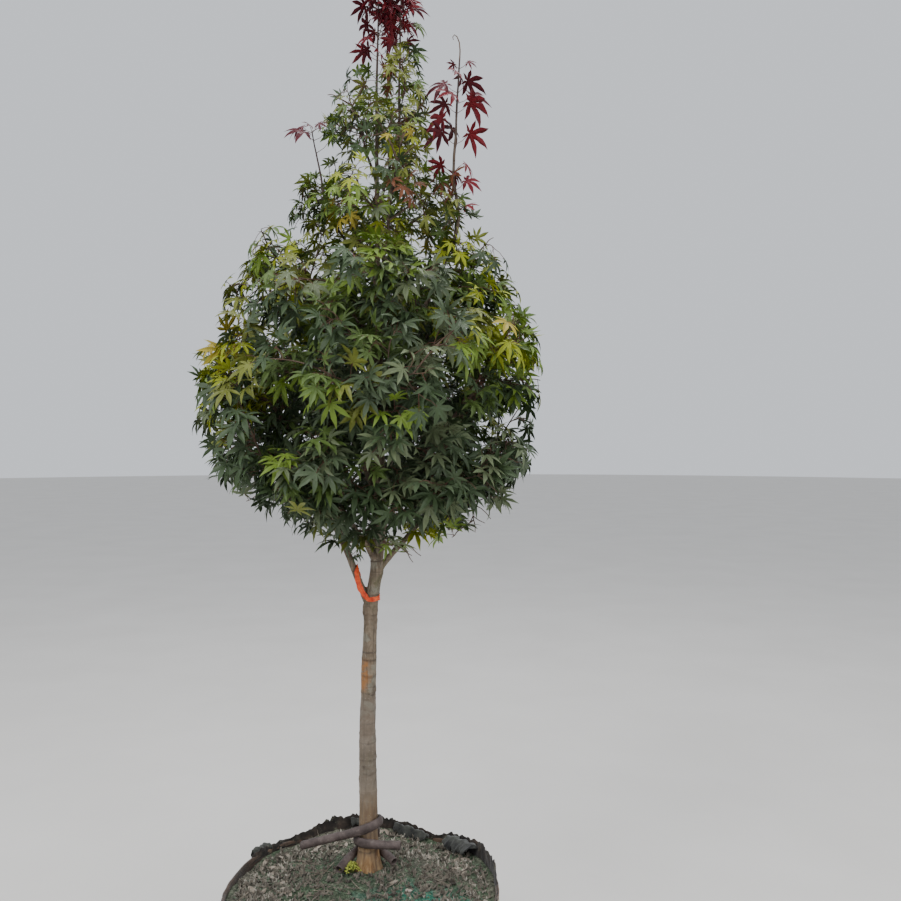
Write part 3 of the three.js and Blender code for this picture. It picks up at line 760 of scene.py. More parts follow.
def ringRelief(heights, waver, seed):
    # low ridges round a limb with a dark line of painted shade under each: their height, and how dark
    chance = random.Random(seed)
    relief = np.zeros_like(waver)
    dark = np.zeros_like(waver)
    z = float(heights.min())
    while z < heights.max():
        z += chance.uniform(*bark["ringGap"])
        width = chance.uniform(*bark["ringWidth"])
        height = bark["ringHeight"] * chance.uniform(0.4, 1.2)
        apart = (heights + waver * 0.006 - z) / width
        relief += height * bell(apart)
        shown = chance.uniform(*bark["ringShade"]) * np.clip(0.75 + 1.6 * waver, 0.15, 1)
        # painted shade: a dark line just under each ridge
        dark = np.maximum(dark, shown * np.exp(-((apart + 1.1) ** 2) * 1.4))
    return relief, dark


def youngAt(radii, columns):
    # 1 on shoots of a year or two, 0 on older wood
    share = np.clip((0.0052 - radii) / 0.0026, 0, 1)
    return [*np.repeat(share, columns), share[0], share[-1]]


def makeTrunk(plan, material):
    rows = np.array(trunkShape["line"])
    footZ = trunkShape["foot"][2]
    heights = np.arange(footZ - bark["buried"], rows[-1, 0], bark["trunkStep"])
    columns = smoothed(columnsAt(heights, rows[:, 0], rows[:, 1:]), bark["smoothing"])
    line, thick = np.column_stack([columns[:, :2], heights]), columns[:, 2]
    heights = heights[:, None]
    count = bark["trunkColumns"]
    angles = turnsOf(count)
    out = outsAt(angles)
    low = np.clip(1 - (heights - footZ) / trunkShape["flareHeight"], 0, 1.2)
    lobes = 0.75 + 0.25 * np.cos(trunkShape["flareLobes"] * angles + 0.7)
    radii = np.repeat(thick[:, None], count, axis=1) * (1 + trunkShape["flareOut"] * low**2 * lobes)
    surface = line[:, None] + out * radii[..., None]
    slender = np.clip(thick / 0.02, 0.25, 1)[:, None]
    stretched = surface * np.array([1.0, 1.0, bark["furrowStretch"]])
    radii += slender * bark["swell"] * noiseAt(surface, 11.0)
    radii += slender * bark["grain"] * noiseAt(surface, 70.0, 4.0)
    radii += slender * bark["furrow"] * noiseAt(stretched, 95.0, 9.0) * np.clip(1.6 - low, 0.4, 1)
    relief, dark = ringRelief(np.repeat(heights, count, 1), noiseAt(surface, 22.0, 2.0), 5)
    radii += slender * relief
    chance = random.Random(21)
    knots = [(chance.uniform(0.55, 1.5), chance.uniform(0, fullTurn), chance.uniform(0.004, 0.008))
             for _ in range(bark["knots"])]
    forkZ, forkAngle, forkWide = bark["forkKnot"]
    knots += [(forkZ, math.radians(forkAngle), forkWide)] * 2
    for z, angle, wide in knots:
        # scars of twigs long gone: a low lip round a sunk middle
        turn = (angles - angle + math.pi) % fullTurn - math.pi
        apart = np.hypot((heights - z) * 1.2, turn * thick[:, None]) / wide
        radii += bark["knotHeight"] * wide / 0.008 * (bell(apart) - 0.75 * bell(apart * 2.1))
        dark = np.maximum(dark, 0.8 * bell(apart * 1.6))
    for row in plan:
        # collar where a limb leaves
        start = row["line"][0]
        if fromAxis(start) < 0.08 and row["name"] != "leader":
            toward = unit((row["line"][30] - start) * np.array([1, 1, 0.0]))
            facing = np.clip((out * toward).sum(axis=1), 0, 1)
            reach = bell((heights - start[2] - 0.004) / (row["radius"] * 2.2))
            radii += bark["collar"] * row["radius"] * reach * facing**2
    leader, steps, around = limbNamed(plan, "leader"), bark["tipSteps"], bark["tipColumns"]
    tipRadii = leader["radius"] * (1 - 0.8 * np.linspace(0, 1, steps))
    tipRings, _, _ = tubeRings(partOf(leader["line"], 0.01, 1.0, steps), tipRadii, around)
    shell = Shell().loft(line[:, None] + out * radii[..., None]).loft(tipRings)
    # the ring marks: painted shade under each ridge, and the dark middles of the twig scars
    marks = np.zeros(len(shell.points))
    marks[:dark.size] = dark.ravel()
    piece = shell.piece("barkTrunk", material)
    markPoints(piece, ring=marks, young=[*youngAt(thick, count), *youngAt(tipRadii, around)])
    return piece


def makeBoughs(plan, material):
    shell = Shell()
    marks, young = [], []
    for row in plan:
        if row["name"] == "leader":
            continue
        count = max(20, int(lengthOf(row["line"]) / bark["boughStep"]))
        line = resample(row["line"], count)
        share = np.linspace(0, 1, count)
        wander = np.stack([noiseAt(line, 9.0, shift, 2) for shift in (3.0, 13.0, 23.0)], axis=1)
        line = line + wander * 0.004 * np.sin(math.pi * share)[:, None]
        radii = row["radius"] * (1 - crown["taper"] * share) * (1 - 0.45 * np.clip(share - 0.7, 0, 1))
        along = share * lengthOf(row["line"])
        radii = radii * (1 + 0.5 * np.exp(-along / (row["radius"] * 1.6)))
        rings, across, _ = tubeRings(line, radii, bark["boughColumns"])
        waver = noiseAt(rings, 40.0, 1.0, 2)
        thick = np.clip(radii / 0.009, 0.3, 1)[:, None]
        relief = thick * (0.0007 * noiseAt(rings, 30.0) + 0.0004 * noiseAt(rings, 110.0, 5.0))
        lines = np.repeat(along[:, None], bark["boughColumns"], 1)
        ridges, dark = ringRelief(lines, waver, row["seed"])
        relief += thick * ridges
        shell.loft(rings + across * relief[..., None])
        # the ring marks: painted shade under each ridge
        marks += [*dark.ravel(), 0.0, 0.0]
        young += youngAt(radii, bark["boughColumns"])
    piece = shell.piece("barkBoughs", material)
    markPoints(piece, ring=marks, young=young)
    return piece


# Leaves: one palmate blade of seven drawn-out lobes, in several forms
leafShape = {
    "reach": 0.061,  # from the stalk to the longest tip
    "lobes": [(-126, 0.34), (-84, 0.64), (-41, 0.90), (0, 1.0), (41, 0.90), (84, 0.64), (126, 0.34)],
    "sinus": 0.29,
    # share of the lobe's length, half width as a share of it
    "stations": [(0.38, 0.112), (0.58, 0.128), (0.80, 0.066)],
    "smallStations": [(0.45, 0.15), (0.74, 0.10)],
    "fold": 0.42,
    "forms": 9,
}


def leafForm(seed):
    chance = random.Random(seed)
    reach = leafShape["reach"]
    droop = chance.uniform(0.16, 0.42)
    curl = chance.uniform(0.0, 0.35)
    fold = leafShape["fold"] * chance.uniform(0.5, 1.3)
    width = chance.uniform(0.86, 1.08)
    points = []

    def place(angle, out, lift=0.0):
        share = out / reach
        z = -droop * reach * share**2 - curl * reach * max(0.0, share - 0.6) ** 2 + lift
        points.append((math.sin(angle) * out, math.cos(angle) * out * (1 - 0.06 * share), z))
        return len(points) - 1

    lobes = [(math.radians(a + chance.uniform(-4, 4)), r * reach * chance.uniform(0.92, 1.06))
             for a, r in leafShape["lobes"]]
    centre = place(0, 0.0)
    sinuses = [place(math.radians(-158), 0.12 * reach)]
    for (a, r), (b, s) in zip(lobes, lobes[1:]):
        sinuses.append(place((a + b) / 2, leafShape["sinus"] * min(r, s), 0.010 * reach))
    sinuses.append(place(math.radians(158), 0.12 * reach))
    faces = []
    for i, (angle, length) in enumerate(lobes):
        tilt = chance.uniform(-0.10, 0.10)
        small = length < 0.45 * reach
        stations = leafShape["smallStations"] if small else leafShape["stations"]
        rib = place(angle, 0.26 * length, -0.012 * reach)
        left, right = sinuses[i], sinuses[i + 1]
        faces += [(centre, left, rib), (centre, rib, right)]
        for share, half in stations:
            out, half = share * length, half * length * width
            away = math.atan2(half, out)
            far = math.hypot(out, half)
            lift = fold * half
            nextRib = place(angle, out)
            nextLeft = place(angle - away, far, lift * (1 + tilt))
            nextRight = place(angle + away, far, lift * (1 - tilt))
            faces += [(left, nextLeft, nextRib, rib), (rib, nextRib, nextRight, right)]
            rib, left, right = nextRib, nextLeft, nextRight
        tip = place(angle + chance.uniform(-0.05, 0.05), length)
        faces += [(left, tip, rib), (rib, tip, right)]
    points = np.array(points)
    turned = []
    for face in faces:
        a, b, c = points[list(face[:3])]
        turned.append(face if np.cross(b - a, c - a)[2] > 0 else face[::-1])
    return points, turned


# Sprays: the fine shoots that carry the leaves
sprays = {
    "nodeStep": 0.056,
    "shoot": (0.050, 0.100),  # shortest and longest
    "skip": 0.08,
    "leafNodes": (0.42, 0.72, 1.0),
    "stalk": (0.026, 0.046),
    "stalkRadius": 0.0008,
    "tipRadius": 0.0010,
    "apart": 0.020,  # between the middles of two blades
    "offWood": 0.045,
    "tries": 5,
    "coarse": 0.11,  # cells for the search of gaps
    "twig": (0.0030, 0.0015),  # radius at its foot and tip
    "twigLength": (0.034, 0.185),
    "greenTo": (2.20, 2.50),  # where ordinary sprays end: on the side shoots, on the leaders
    # gap that calls for a new twig, tries, lowest and highest place
    "fills": [(0.085, 900, 1.29, 2.06), (0.070, 1500, 1.29, 1.98), (0.095, 420, 1.98, 2.46)],
    "longestFill": 0.24,
    # places on the outline, and low at the fork, that a spray reaches: x, y, z
    "reached": [
        (-0.180, 0.05, 2.335), (-0.205, 0.02, 2.180), (-0.268, 0.06, 2.110), (-0.340, 0.03, 1.985),
        (-0.415, 0.05, 1.860), (-0.425, 0.02, 1.780), (-0.395, 0.06, 1.690), (-0.430, 0.05, 1.610),
        (-0.400, 0.02, 1.545), (-0.380, 0.07, 1.500), (-0.300, 0.03, 1.455), (-0.225, 0.05, 1.420),
        (0.305, 0.05, 2.095), (0.360, 0.02, 2.020), (0.415, 0.05, 1.945), (0.435, 0.02, 1.860),
        (0.440, 0.06, 1.780), (0.440, 0.04, 1.710), (0.425, 0.03, 1.640), (0.420, 0.06, 1.560),
        (0.400, 0.04, 1.480), (0.370, 0.03, 1.430), (0.305, 0.05, 1.385), (0.195, 0.02, 1.345),
        (-0.055, 0.00, 1.330), (-0.015, -0.04, 1.335), (0.105, 0.02, 1.335), (0.060, -0.05, 1.345),
        (-0.030, -0.035, 1.308),
    ],
    "small": (2.02, 2.34, 0.74),  # leaves shrink between two heights, to this size
}

# name, colour, slot, and its weight at the foot, in the middle, high up, on the sunlit sides, red; the yellower
# tints weighted to the sunlit sides are painted sunlight
tints = [
    ("BlueGreen", (0.060, 0.086, 0.042), "leaf_dark", (3.2, 2.4, 0.25, 0.3, 0.0)),
    ("DeepGreen", (0.046, 0.074, 0.030), "leaf_dark", (3.0, 2.4, 0.7, 0.4, 0.1)),
    ("GreyGreen", (0.114, 0.142, 0.070), "leaf_dark", (2.0, 2.0, 0.35, 0.2, 0.0)),
    ("MidGreen", (0.080, 0.126, 0.028), "leaf_green", (1.3, 1.6, 2.2, 1.0, 0.0)),
    ("FreshGreen", (0.130, 0.200, 0.022), "leaf_green", (0.06, 0.22, 1.6, 1.9, 0.0)),
    ("Olive", (0.156, 0.176, 0.028), "leaf_olive", (0.2, 0.55, 2.6, 1.7, 0.2)),
    ("YellowGreen", (0.255, 0.292, 0.014), "leaf_olive", (0.02, 0.05, 0.6, 2.4, 0.0)),
    ("Gold", (0.330, 0.262, 0.028), "leaf_olive", (0.0, 0.0, 0.22, 0.5, 0.0)),
    ("Rust", (0.140, 0.050, 0.022), "leaf_crimson", (0.0, 0.0, 0.02, 0.0, 0.6)),
    ("Crimson", (0.150, 0.011, 0.017), "leaf_crimson", (0.0, 0.0, 0.0, 0.0, 3.2)),
    ("DarkCrimson", (0.080, 0.008, 0.014), "leaf_crimson", (0.0, 0.0, 0.0, 0.0, 2.4)),
]
tintPlace = {tint[0]: i for i, tint in enumerate(tints)}

# Single leaves drawn on the bare shoots: height of the node, heading in degrees, stalk, size, tint
drawnLeaves = {
    "red_shoot": [
        (2.225, 150, 0.030, 0.80, "Olive"), (2.225, 330, 0.034, 0.78, "Crimson"),
        (2.262, 60, 0.030, 0.78, "MidGreen"), (2.262, 235, 0.026, 0.72, "Rust"),
        (2.290, 175, 0.036, 0.90, "Rust"), (2.290, 352, 0.040, 0.94, "Crimson"),
        (2.306, 120, 0.030, 0.84, "Olive"), (2.306, 290, 0.026, 0.80, "Crimson"),
        (2.318, 80, 0.026, 0.80, "Crimson"), (2.318, 262, 0.022, 0.88, "Rust"),
        (2.340, 188, 0.038, 0.92, "Crimson"), (2.340, 12, 0.044, 0.94, "Crimson"),
        (2.415, 186, 0.050, 1.24, "DarkCrimson"), (2.415, 2, 0.052, 1.30, "Crimson"),
        (2.450, 110, 0.040, 1.02, "DarkCrimson"), (2.450, 214, 0.050, 1.24, "Crimson"),
        (2.500, 342, 0.046, 1.40, "Crimson"), (2.500, 172, 0.040, 1.04, "DarkCrimson"),
        (2.528, 12, 0.050, 1.36, "DarkCrimson"), (2.528, 240, 0.030, 1.00, "Crimson"),
        (2.556, 350, 0.040, 1.20, "DarkCrimson"), (2.556, 196, 0.042, 1.24, "DarkCrimson"),
        (2.596, 70, 0.024, 0.70, "DarkCrimson"), (2.596, 250, 0.022, 0.66, "Crimson"),
        (2.622, 350, 0.030, 0.50, "DarkCrimson"), (2.622, 160, 0.022, 0.44, "DarkCrimson"),
    ],
    "left_shoot": [
        (2.425, 196, 0.034, 1.10, "DarkCrimson"), (2.425, 15, 0.042, 1.00, "DeepGreen"),
        (2.446, 172, 0.036, 0.90, "DarkCrimson"), (2.446, 330, 0.030, 0.60, "DarkCrimson"),
        (2.450, 30, 0.058, 1.15, "Olive"), (2.450, 245, 0.020, 0.50, "DarkCrimson"),
        (2.450, 10, 0.060, 0.80, "DeepGreen"),
        (2.390, 352, 0.060, 0.84, "MidGreen"), (2.300, 10, 0.046, 0.84, "Olive"),
        (2.300, 186, 0.040, 0.80, "MidGreen"), (2.280, 200, 0.050, 0.76, "Olive"),
    ],
    "second_stem": [
        (1.272, 5, 0.026, 0.42, "DeepGreen"), (1.272, 300, 0.022, 0.36, "DeepGreen"),
        (1.284, 345, 0.040, 0.48, "MidGreen"), (1.300, 20, 0.034, 0.50, "DeepGreen"),
        (1.352, 285, 0.034, 1.00, "DeepGreen"), (1.372, 300, 0.046, 1.05, "MidGreen"),
        (1.372, 240, 0.040, 0.95, "BlueGreen"), (1.400, 262, 0.036, 1.00, "DeepGreen"),
    ],
    "leader": [
        (2.555, 176, 0.040, 0.76, "Olive"), (2.555, 20, 0.030, 0.70, "MidGreen"),
        (2.594, 200, 0.034, 0.72, "MidGreen"), (2.600, 320, 0.034, 0.72, "Rust"),
        (2.646, 182, 0.044, 0.92, "Crimson"), (2.646, 300, 0.026, 0.76, "Crimson"),
        (2.656, 215, 0.030, 0.76, "DarkCrimson"), (2.660, 20, 0.032, 0.66, "Rust"),
    ],
    "leader_right": [
        (2.545, 350, 0.040, 0.78, "Olive"), (2.545, 190, 0.034, 0.70, "Rust"),
        (2.592, 200, 0.030, 0.80, "Rust"), (2.600, 325, 0.036, 0.74, "Olive"),
        (2.630, 352, 0.050, 0.84, "MidGreen"), (2.640, 12, 0.054, 0.80, "DeepGreen"),
        (2.630, 160, 0.026, 0.72, "Crimson"), (2.668, 240, 0.026, 0.66, "DarkCrimson"),
        (2.720, 8, 0.056, 0.78, "MidGreen"),
    ],
}

# The curled end of the red shoot, bare of leaves
bareTip = [(0.266, 0.044, 2.645), (0.267, 0.043, 2.672), (0.265, 0.043, 2.694), (0.259, 0.043, 2.709),
           (0.252, 0.042, 2.714), (0.247, 0.042, 2.708), (0.249, 0.042, 2.700)]

# The crimson tufts of both leaders, with the shortest and longest stalk and the smallest and largest leaf
tuft = {
    "from": 2.690,
    "step": 0.017,
    "stalk": (0.018, 0.038),
    "size": (0.68, 0.96),
    "tint": ("Crimson", "DarkCrimson"),
    "tip": 0.068,  # of the growing point, over the stem
}


def tintFor(place, chance):
    x, _, z = place
    high = into(z, 1.93, 0.22)
    left = into(x, -0.14, -0.12) * into(z, 1.67, 0.12)
    right = into(x, 0.17, 0.12) * into(z, 1.74, 0.10)
    # low on the right, under the crown: the yellower tints there are painted light shining through the leaves
    under = 1.0 if z < 1.39 and x > 0.12 else 0.0
    # the yellower tints on the sunlit sides are painted sunlight
    sunlit = min(1.0, left + right + under) * (1 - 0.4 * high)
    foot = into(z, 1.75, -0.3) * (1 - sunlit)
    rest = 1 - sunlit - foot
    shares = (foot, rest * (1 - high), rest * high, sunlit, 0.0)
    weights = [sum(w * s for w, s in zip(tint[3], shares)) for tint in tints]
    return chance.choices(range(len(tints)), weights)[0]


def squareTo(forward, turn):
    side = np.cross(forward, up)
    if np.linalg.norm(side) < 0.2:
        side = np.array([1.0, 0.0, 0.0]) - forward * forward[0]
    side = unit(side)
    return side * math.cos(turn) + np.cross(forward, side) * math.sin(turn)


def bothSides(forward, turn):
    # two directions square to forward, opposite to one another
    return [squareTo(forward, turn + half) for half in (0.0, math.pi)]


def cellOf(p, step):
    return tuple(int(math.floor(c / step)) for c in p)


def squareOff(facing, heading):
    # the facing, turned square to the heading
    facing = unit(facing)
    return unit(facing - heading * facing.dot(heading))


def scattered(chance, spread=1):
    return np.array([chance.gauss(0, spread) for _ in range(3)])


def outwardAt(p):
    return unit(np.array([p[0] - crown["axis"][0], p[1] - crown["axis"][1], 0.0]))


def sideTwigs(row):
    draw = numbersFrom(row["seed"])
    stem = partOf(row["line"], row["entry"], 1.0, 60)
    stemLength = lengthOf(stem)
    twigs = []
    for i in range(row["pairs"]):
        share = 0.22 + 0.6 * i / max(1, row["pairs"] - 1)
        k = int(share * 59)
        start, forward = stem[k], unit(stem[min(59, k + 1)] - stem[k - 1])
        turn = i * 1.35 + next(draw) * 0.6
        for side in bothSides(forward, turn):
            direction = unit(unit(side + 0.7 * forward) + 0.15 * up)
            length = stemLength * 0.5 * (1.2 - 0.5 * share) * (0.8 + 0.4 * next(draw))
            shortest, longest = sprays["twigLength"]
            length = min(longest, max(shortest, length))
            for _ in range(4):
                if insideReach(start + direction * length, row):
                    break
                length *= 0.78
            bend = squareTo(direction, turn * 2.0) * 0.10 * length
            t = np.linspace(0, 1, 7)[:, None]
            line = start + direction * length * t + bend * np.sin(math.pi * t * 0.9)
            twigs.append((line, np.linspace(*sprays["twig"], 7)))
    return twigs


class Crown:
    # the growing crown: its twigs, stalks and leaves, leaves kept by tint
    def __init__(self, plan):
        self.plan = plan
        self.twigs = []
        self.stalks = []
        self.carriers = []  # lines that new twigs may leave from, with their limb
        self.leaves = [[] for _ in tints]
        self.owners = [set() for _ in tints]
        self.middles = {}
        self.coarse = {}

    def crowded(self, p):
        return self.nearLeaf(p, self.middles, sprays["apart"], sprays["apart"])

    def nearLeaf(self, p, cells, step, gap):
        # look in the cell of the point and in those round it
        near = product(*((c - 1, c, c + 1) for c in cellOf(p, step)))
        found = (q for cell in near for q in cells.get(cell, ()))
        return any(sum((a - b) ** 2 for a, b in zip(q, p)) < gap * gap for q in found)

    def keepLeaf(self, row, tint, root, joint, facing, heading, size, form, sag=0.0):
        middle = joint + heading * 0.35 * leafShape["reach"] * size
        for cells, step in ((self.middles, sprays["apart"]), (self.coarse, sprays["coarse"])):
            cells.setdefault(cellOf(middle, step), []).append(middle)
        self.leaves[tint].append((joint, facing, heading, size, form))
        self.owners[tint].add(row["name"])
        bow = (root + joint) / 2 + up * (0.10 * float(np.linalg.norm(joint - root)) - sag)
        radius = sprays["stalkRadius"]
        self.stalks.append(([root, bow, joint], [radius * 1.3, radius, radius]))

    def sizeAt(self, z):
        low, high, small = sprays["small"]
        return 1 + (small - 1) * into(z, low, high - low)

    def addLeaf(self, row, root, direction, tint, chance, scale):
        outward = outwardAt(root)
        for i in range(sprays["tries"]):
            loose = 0.40 * (1 + 0.35 * i)
            jitter = scattered(chance)
            stalk = unit(direction + 0.15 * outward - 0.05 * up + 0.22 * jitter)
            length = chance.uniform(*sprays["stalk"]) * scale
            joint = root + stalk * length - up * 0.12 * length
            fall = chance.uniform(0.08, 0.80)
            heading = unit(stalk * 0.75 + outward * 0.35 - up * fall + jitter[::-1] * loose * 0.5)
            facing = squareOff(outward * 0.55 + up * 0.95 + loose * scattered(chance), heading)
            size = row["size"] * scale * chance.uniform(0.82, 1.14) * self.sizeAt(joint[2])
            middle = joint + heading * 0.35 * leafShape["reach"] * size
            tip = joint + heading * leafShape["reach"] * size
            wide = np.cross(heading, facing) * 0.8 * leafShape["reach"] * size
            ends = (tip, middle + wide, middle - wide)
            if not all(insideReach(p, row, 0.006) for p in ends) or self.crowded(middle):
                continue
            x, y, radius = trunkAt(middle[2])
            if math.hypot(middle[0] - x, middle[1] - y) < radius + sprays["offWood"] and middle[2] < 2.4:
                continue
            self.keepLeaf(row, tint, root, joint, facing, heading, size, chance.randrange(leafShape["forms"]))
            return

    def drawLeaf(self, row, root, degrees, length, size, tint, chance):
        # one leaf of a bare shoot: a rising stalk and a hanging blade
        out = outAt(math.radians(degrees + chance.uniform(-12, 12)))
        joint = root + unit(out + up * chance.uniform(0.6, 1.1)) * length
        turn = squareTo(out, 0.0) * chance.uniform(-0.4, 0.4)
        heading = unit(out * chance.uniform(0.7, 1.1) - up * chance.uniform(0.05, 0.65) + turn)
        facing = squareOff(up * 0.6 + out * 0.3 + squareTo(out, 0.0) * chance.choice((-0.6, 0.6, 0.9)), heading)
        form = chance.randrange(leafShape["forms"])
        self.keepLeaf(row, tintPlace[tint], root, joint, facing, heading, size, form, length * 0.2)

    def addShoot(self, row, start, direction, length, chance, scale=1.0):
        tint = tintFor(start + direction * length, chance)
        t = np.linspace(0, 1, 5)[:, None]
        side = squareTo(direction, chance.uniform(0, fullTurn)) * 0.10 * length
        line = start + direction * length * t - up * 0.16 * length * t**2 + side * np.sin(math.pi * t)
        self.twigs.append((line, np.linspace(0.0016, sprays["tipRadius"], 5)))
        for k, share in enumerate(sprays["leafNodes"]):
            node = partOf(line, share, share, 2)[0]
            forward = unit(line[-1] - line[-2])
            turn = (k % 2) * math.pi / 2 + chance.uniform(-0.4, 0.4)
            smaller = 0.9 if k == 2 else 1.0
            for side in bothSides(forward, turn):
                self.addLeaf(row, node, unit(side + 0.65 * forward), tint, chance, scale * smaller)

    def growAlong(self, row, line, chance, first, scale=1.0):
        length = lengthOf(line)
        place = first * length + chance.uniform(0, 0.4) * sprays["nodeStep"]
        k = 0
        while place < length:
            share = place / length
            node = partOf(line, share, min(1.0, share + 0.02), 2)
            forward = unit(node[1] - node[0]) if share < 0.98 else unit(line[-1] - line[-2])
            turn = (k % 2) * math.pi / 2 + chance.uniform(-0.5, 0.5)
            for side in bothSides(forward, turn):
                if chance.random() < sprays["skip"]:
                    continue
                direction = unit(side + 0.7 * forward + 0.25 * outwardAt(node[0]) + 0.05 * up)
                size = chance.uniform(*sprays["shoot"]) * (1 - 0.3 * share) * scale
                if insideReach(node[0] + direction * size, row):
                    self.addShoot(row, node[0], direction, size, chance)
            place += sprays["nodeStep"] * chance.uniform(0.8, 1.25)
            k += 1
        self.addShoot(row, line[-1], unit(line[-1] - line[-2]), 0.03, chance, 0.95)

    def fillGap(self, p, nodes, chance):
        # a curved twig from the nearest limb below and within, if one is near
        apart = np.linalg.norm(nodes[:, :3] - p, axis=1)
        inner = np.hypot(*(nodes[:, :2] - crown["axis"]).T)
        cost = apart + 0.8 * np.clip(nodes[:, 2] - p[2], 0, None) + 0.8 * np.clip(inner - fromAxis(p), 0, None)
        best = int(cost.argmin())
        start, row = nodes[best, :3], self.plan[int(nodes[best, 3])]
        if not 0.03 < apart[best] < sprays["longestFill"]:
            return
        turn = start + (p - start) * 0.55 + up * 0.14 * apart[best]
        turn = turn + scattered(chance, 0.08 * apart[best])
        line = bentLine(start, turn, p, 8)
        thick = min(0.0026, 0.0012 + 0.008 * apart[best])
        self.twigs.append((line, np.linspace(thick, 0.0014, 8)))
        self.carriers.append((row, line))
        self.growAlong(row, line, chance, 0.40, 0.75)

    def carrierPoints(self):
        # points along every carrier, with the number of its limb
        points = []
        for row, line in self.carriers:
            spots = resample(line, max(2, int(lengthOf(line) / 0.025)))
            points.append(np.column_stack([spots, np.full(len(spots), row["number"])]))
        return np.concatenate(points)

    def fillGaps(self):
        chance = random.Random(4)
        nodes = self.carrierPoints()
        for p in sprays["reached"]:
            if not self.nearLeaf(p, self.coarse, sprays["coarse"], 0.050):
                self.fillGap(np.array(p), nodes, chance)
        for gap, tries, low, high in sprays["fills"]:
            nodes = self.carrierPoints()
            for _ in range(tries):
                out = outAt(chance.uniform(0, fullTurn))
                middle = np.array([*crown["axis"], chance.uniform(low, high)])
                p = middle + out * crownReach(middle + out * 0.1) * chance.uniform(0.30, 0.80) ** 0.5
                if not self.nearLeaf(p, self.coarse, sprays["coarse"], gap):
                    self.fillGap(p, nodes, chance)

    def grow(self):
        for row in self.plan:
            chance = random.Random(row["seed"] * 31)
            line = row["line"]
            hand = chance if row["spread"] else random.Random(3)
            for z, *leaf in drawnLeaves.get(row["name"], []):
                self.drawLeaf(row, self.atHeight(row, z), *leaf, hand)
            if row["spread"]:
                # ordinary sprays below, single leaves above
                top = sprays["greenTo"][row["name"].startswith("leader")]
                line = line[line[:, 2] < top] if line[0, 2] < top - 0.02 else None
            if line is not None:
                inner = 0.0 if row["spread"] else row["entry"] * 0.55
                stem = partOf(line, inner, 1.0, 80)
                self.carriers.append((row, stem))
                self.growAlong(row, stem, chance, 0.05)
            if not row["spread"]:
                for line, radii in sideTwigs(row):
                    self.twigs.append((line, radii))
                    self.carriers.append((row, line))
                    self.growAlong(row, line, chance, 0.3)
            if row["name"].startswith("leader"):
                self.growTuft(row, chance)
            if row["name"] == "red_shoot":
                self.twigs.append((np.array(bareTip), np.linspace(0.0022, 0.0010, len(bareTip))))
        self.fillGaps()

    def atHeight(self, row, z):
        line = row["line"]
        return np.array([*columnsAt(z, line[:, 2], line[:, :2]), z])

    def tuftLeaf(self, row, root, degrees, chance, share=1.0, small=1.0):
        stalk, size = chance.uniform(*tuft["stalk"]) * share, chance.uniform(*tuft["size"]) * small
        self.drawLeaf(row, root, degrees, stalk, size, chance.choice(tuft["tint"]), chance)

    def growTuft(self, row, chance):
        # close pairs of small leaves on the stem and on short twigs
        z, k = tuft["from"], 0
        top = float(row["line"][-1, 2])
        while z < top:
            node = self.atHeight(row, z)
            for half in (0, 180):
                degrees = k * 90 + half + chance.uniform(-35, 35)
                root = node
                if k % 3 == 1:
                    root = node + unit(outAt(math.radians(degrees)) + up * 1.2) * chance.uniform(0.018, 0.036)
                    self.twigs.append(([node, (node + root) / 2, root], [0.0014, 0.0012, 0.0010]))
                    for turned in (-70, 70):
                        self.tuftLeaf(row, root, degrees + turned, chance, 0.7, 0.85)
                self.tuftLeaf(row, root, degrees, chance)
            z += tuft["step"] * chance.uniform(0.8, 1.2)
            k += 1
        # the growing point: a soft twig with small leaves
        foot = self.atHeight(row, top)
        tip = foot + up * tuft["tip"]
        self.twigs.append(([foot, (foot + tip) / 2, tip], [0.0014, 0.0012, 0.0008]))
        for share, size in ((0.4, 0.62), (0.7, 0.52), (1.0, 0.42)):
            for half in (0, 180):
                root = foot + (tip - foot) * share
                self.drawLeaf(row, root, 300 * share + half, tuft["stalk"][0], size, "Crimson", chance)


def leafFinish(name, colour):
    finish = Finish(name, 0.5, specular=0.20 if colour[0] > 2 * colour[1] else 0.30)
    patch = finish.noise(24, 3, 0.6)
    finish.under(patch, shades(colour, [(0.30, 0.80), (0.52, 1.0), (0.72, 1.22)]))
    finish.roughness(patch, 0.40, 0.62)
    finish.bump(finish.noise(420, 2, 0.5), 0.0004, 0.5)
    return finish.done()


def woodFinish(name, colour):
    finish = Finish(name, 0.6, specular=0.35)
    finish.under(finish.noise(38, 4, 0.6), shades(colour, [(0.32, 0.6), (0.5, 1.0), (0.7, 1.4)]))
    finish.bump(finish.noise(500, 3, 0.6), 0.0003, 0.7)
    return finish.done()


def makeCrown(plan, trees):
    grown = Crown(plan)
    grown.grow()
    forms = formCollection("leafForm", [leafForm(seed) for seed in range(leafShape["forms"])])
    pieces = []
    for (name, colour, slot, _), rows, owners in zip(tints, grown.leaves, grown.owners):
        if rows:
            finish, carrier = leafFinish("leaf " + name, colour), pointCarrier("leafPoints", rows)
            piece = runNodes("leaves" + name, carrier, trees["scatter"], Forms=forms, Material=finish)
            pieces.append((piece, slot, sorted("foliage_" + owner for owner in owners)))
    masses = ["foliage_" + row["name"] for row in plan]
    for name, lines, sides, colour, slot in (
        ("twigs", grown.twigs, 5, (0.105, 0.066, 0.042), "bark"),
        ("leafStalks", grown.stalks, 3, (0.120, 0.050, 0.034), "leaf_crimson"),
    ):
        finish, carrier = woodFinish(name + " skin", colour), lineCarrier(name, lines)
        pieces.append((runNodes(name, carrier, trees["twig"], Sides=sides, Material=finish), slot, masses))
    print("leaves:", sum(len(rows) for rows in grown.leaves), "twigs:", len(grown.twigs))
    return pieces


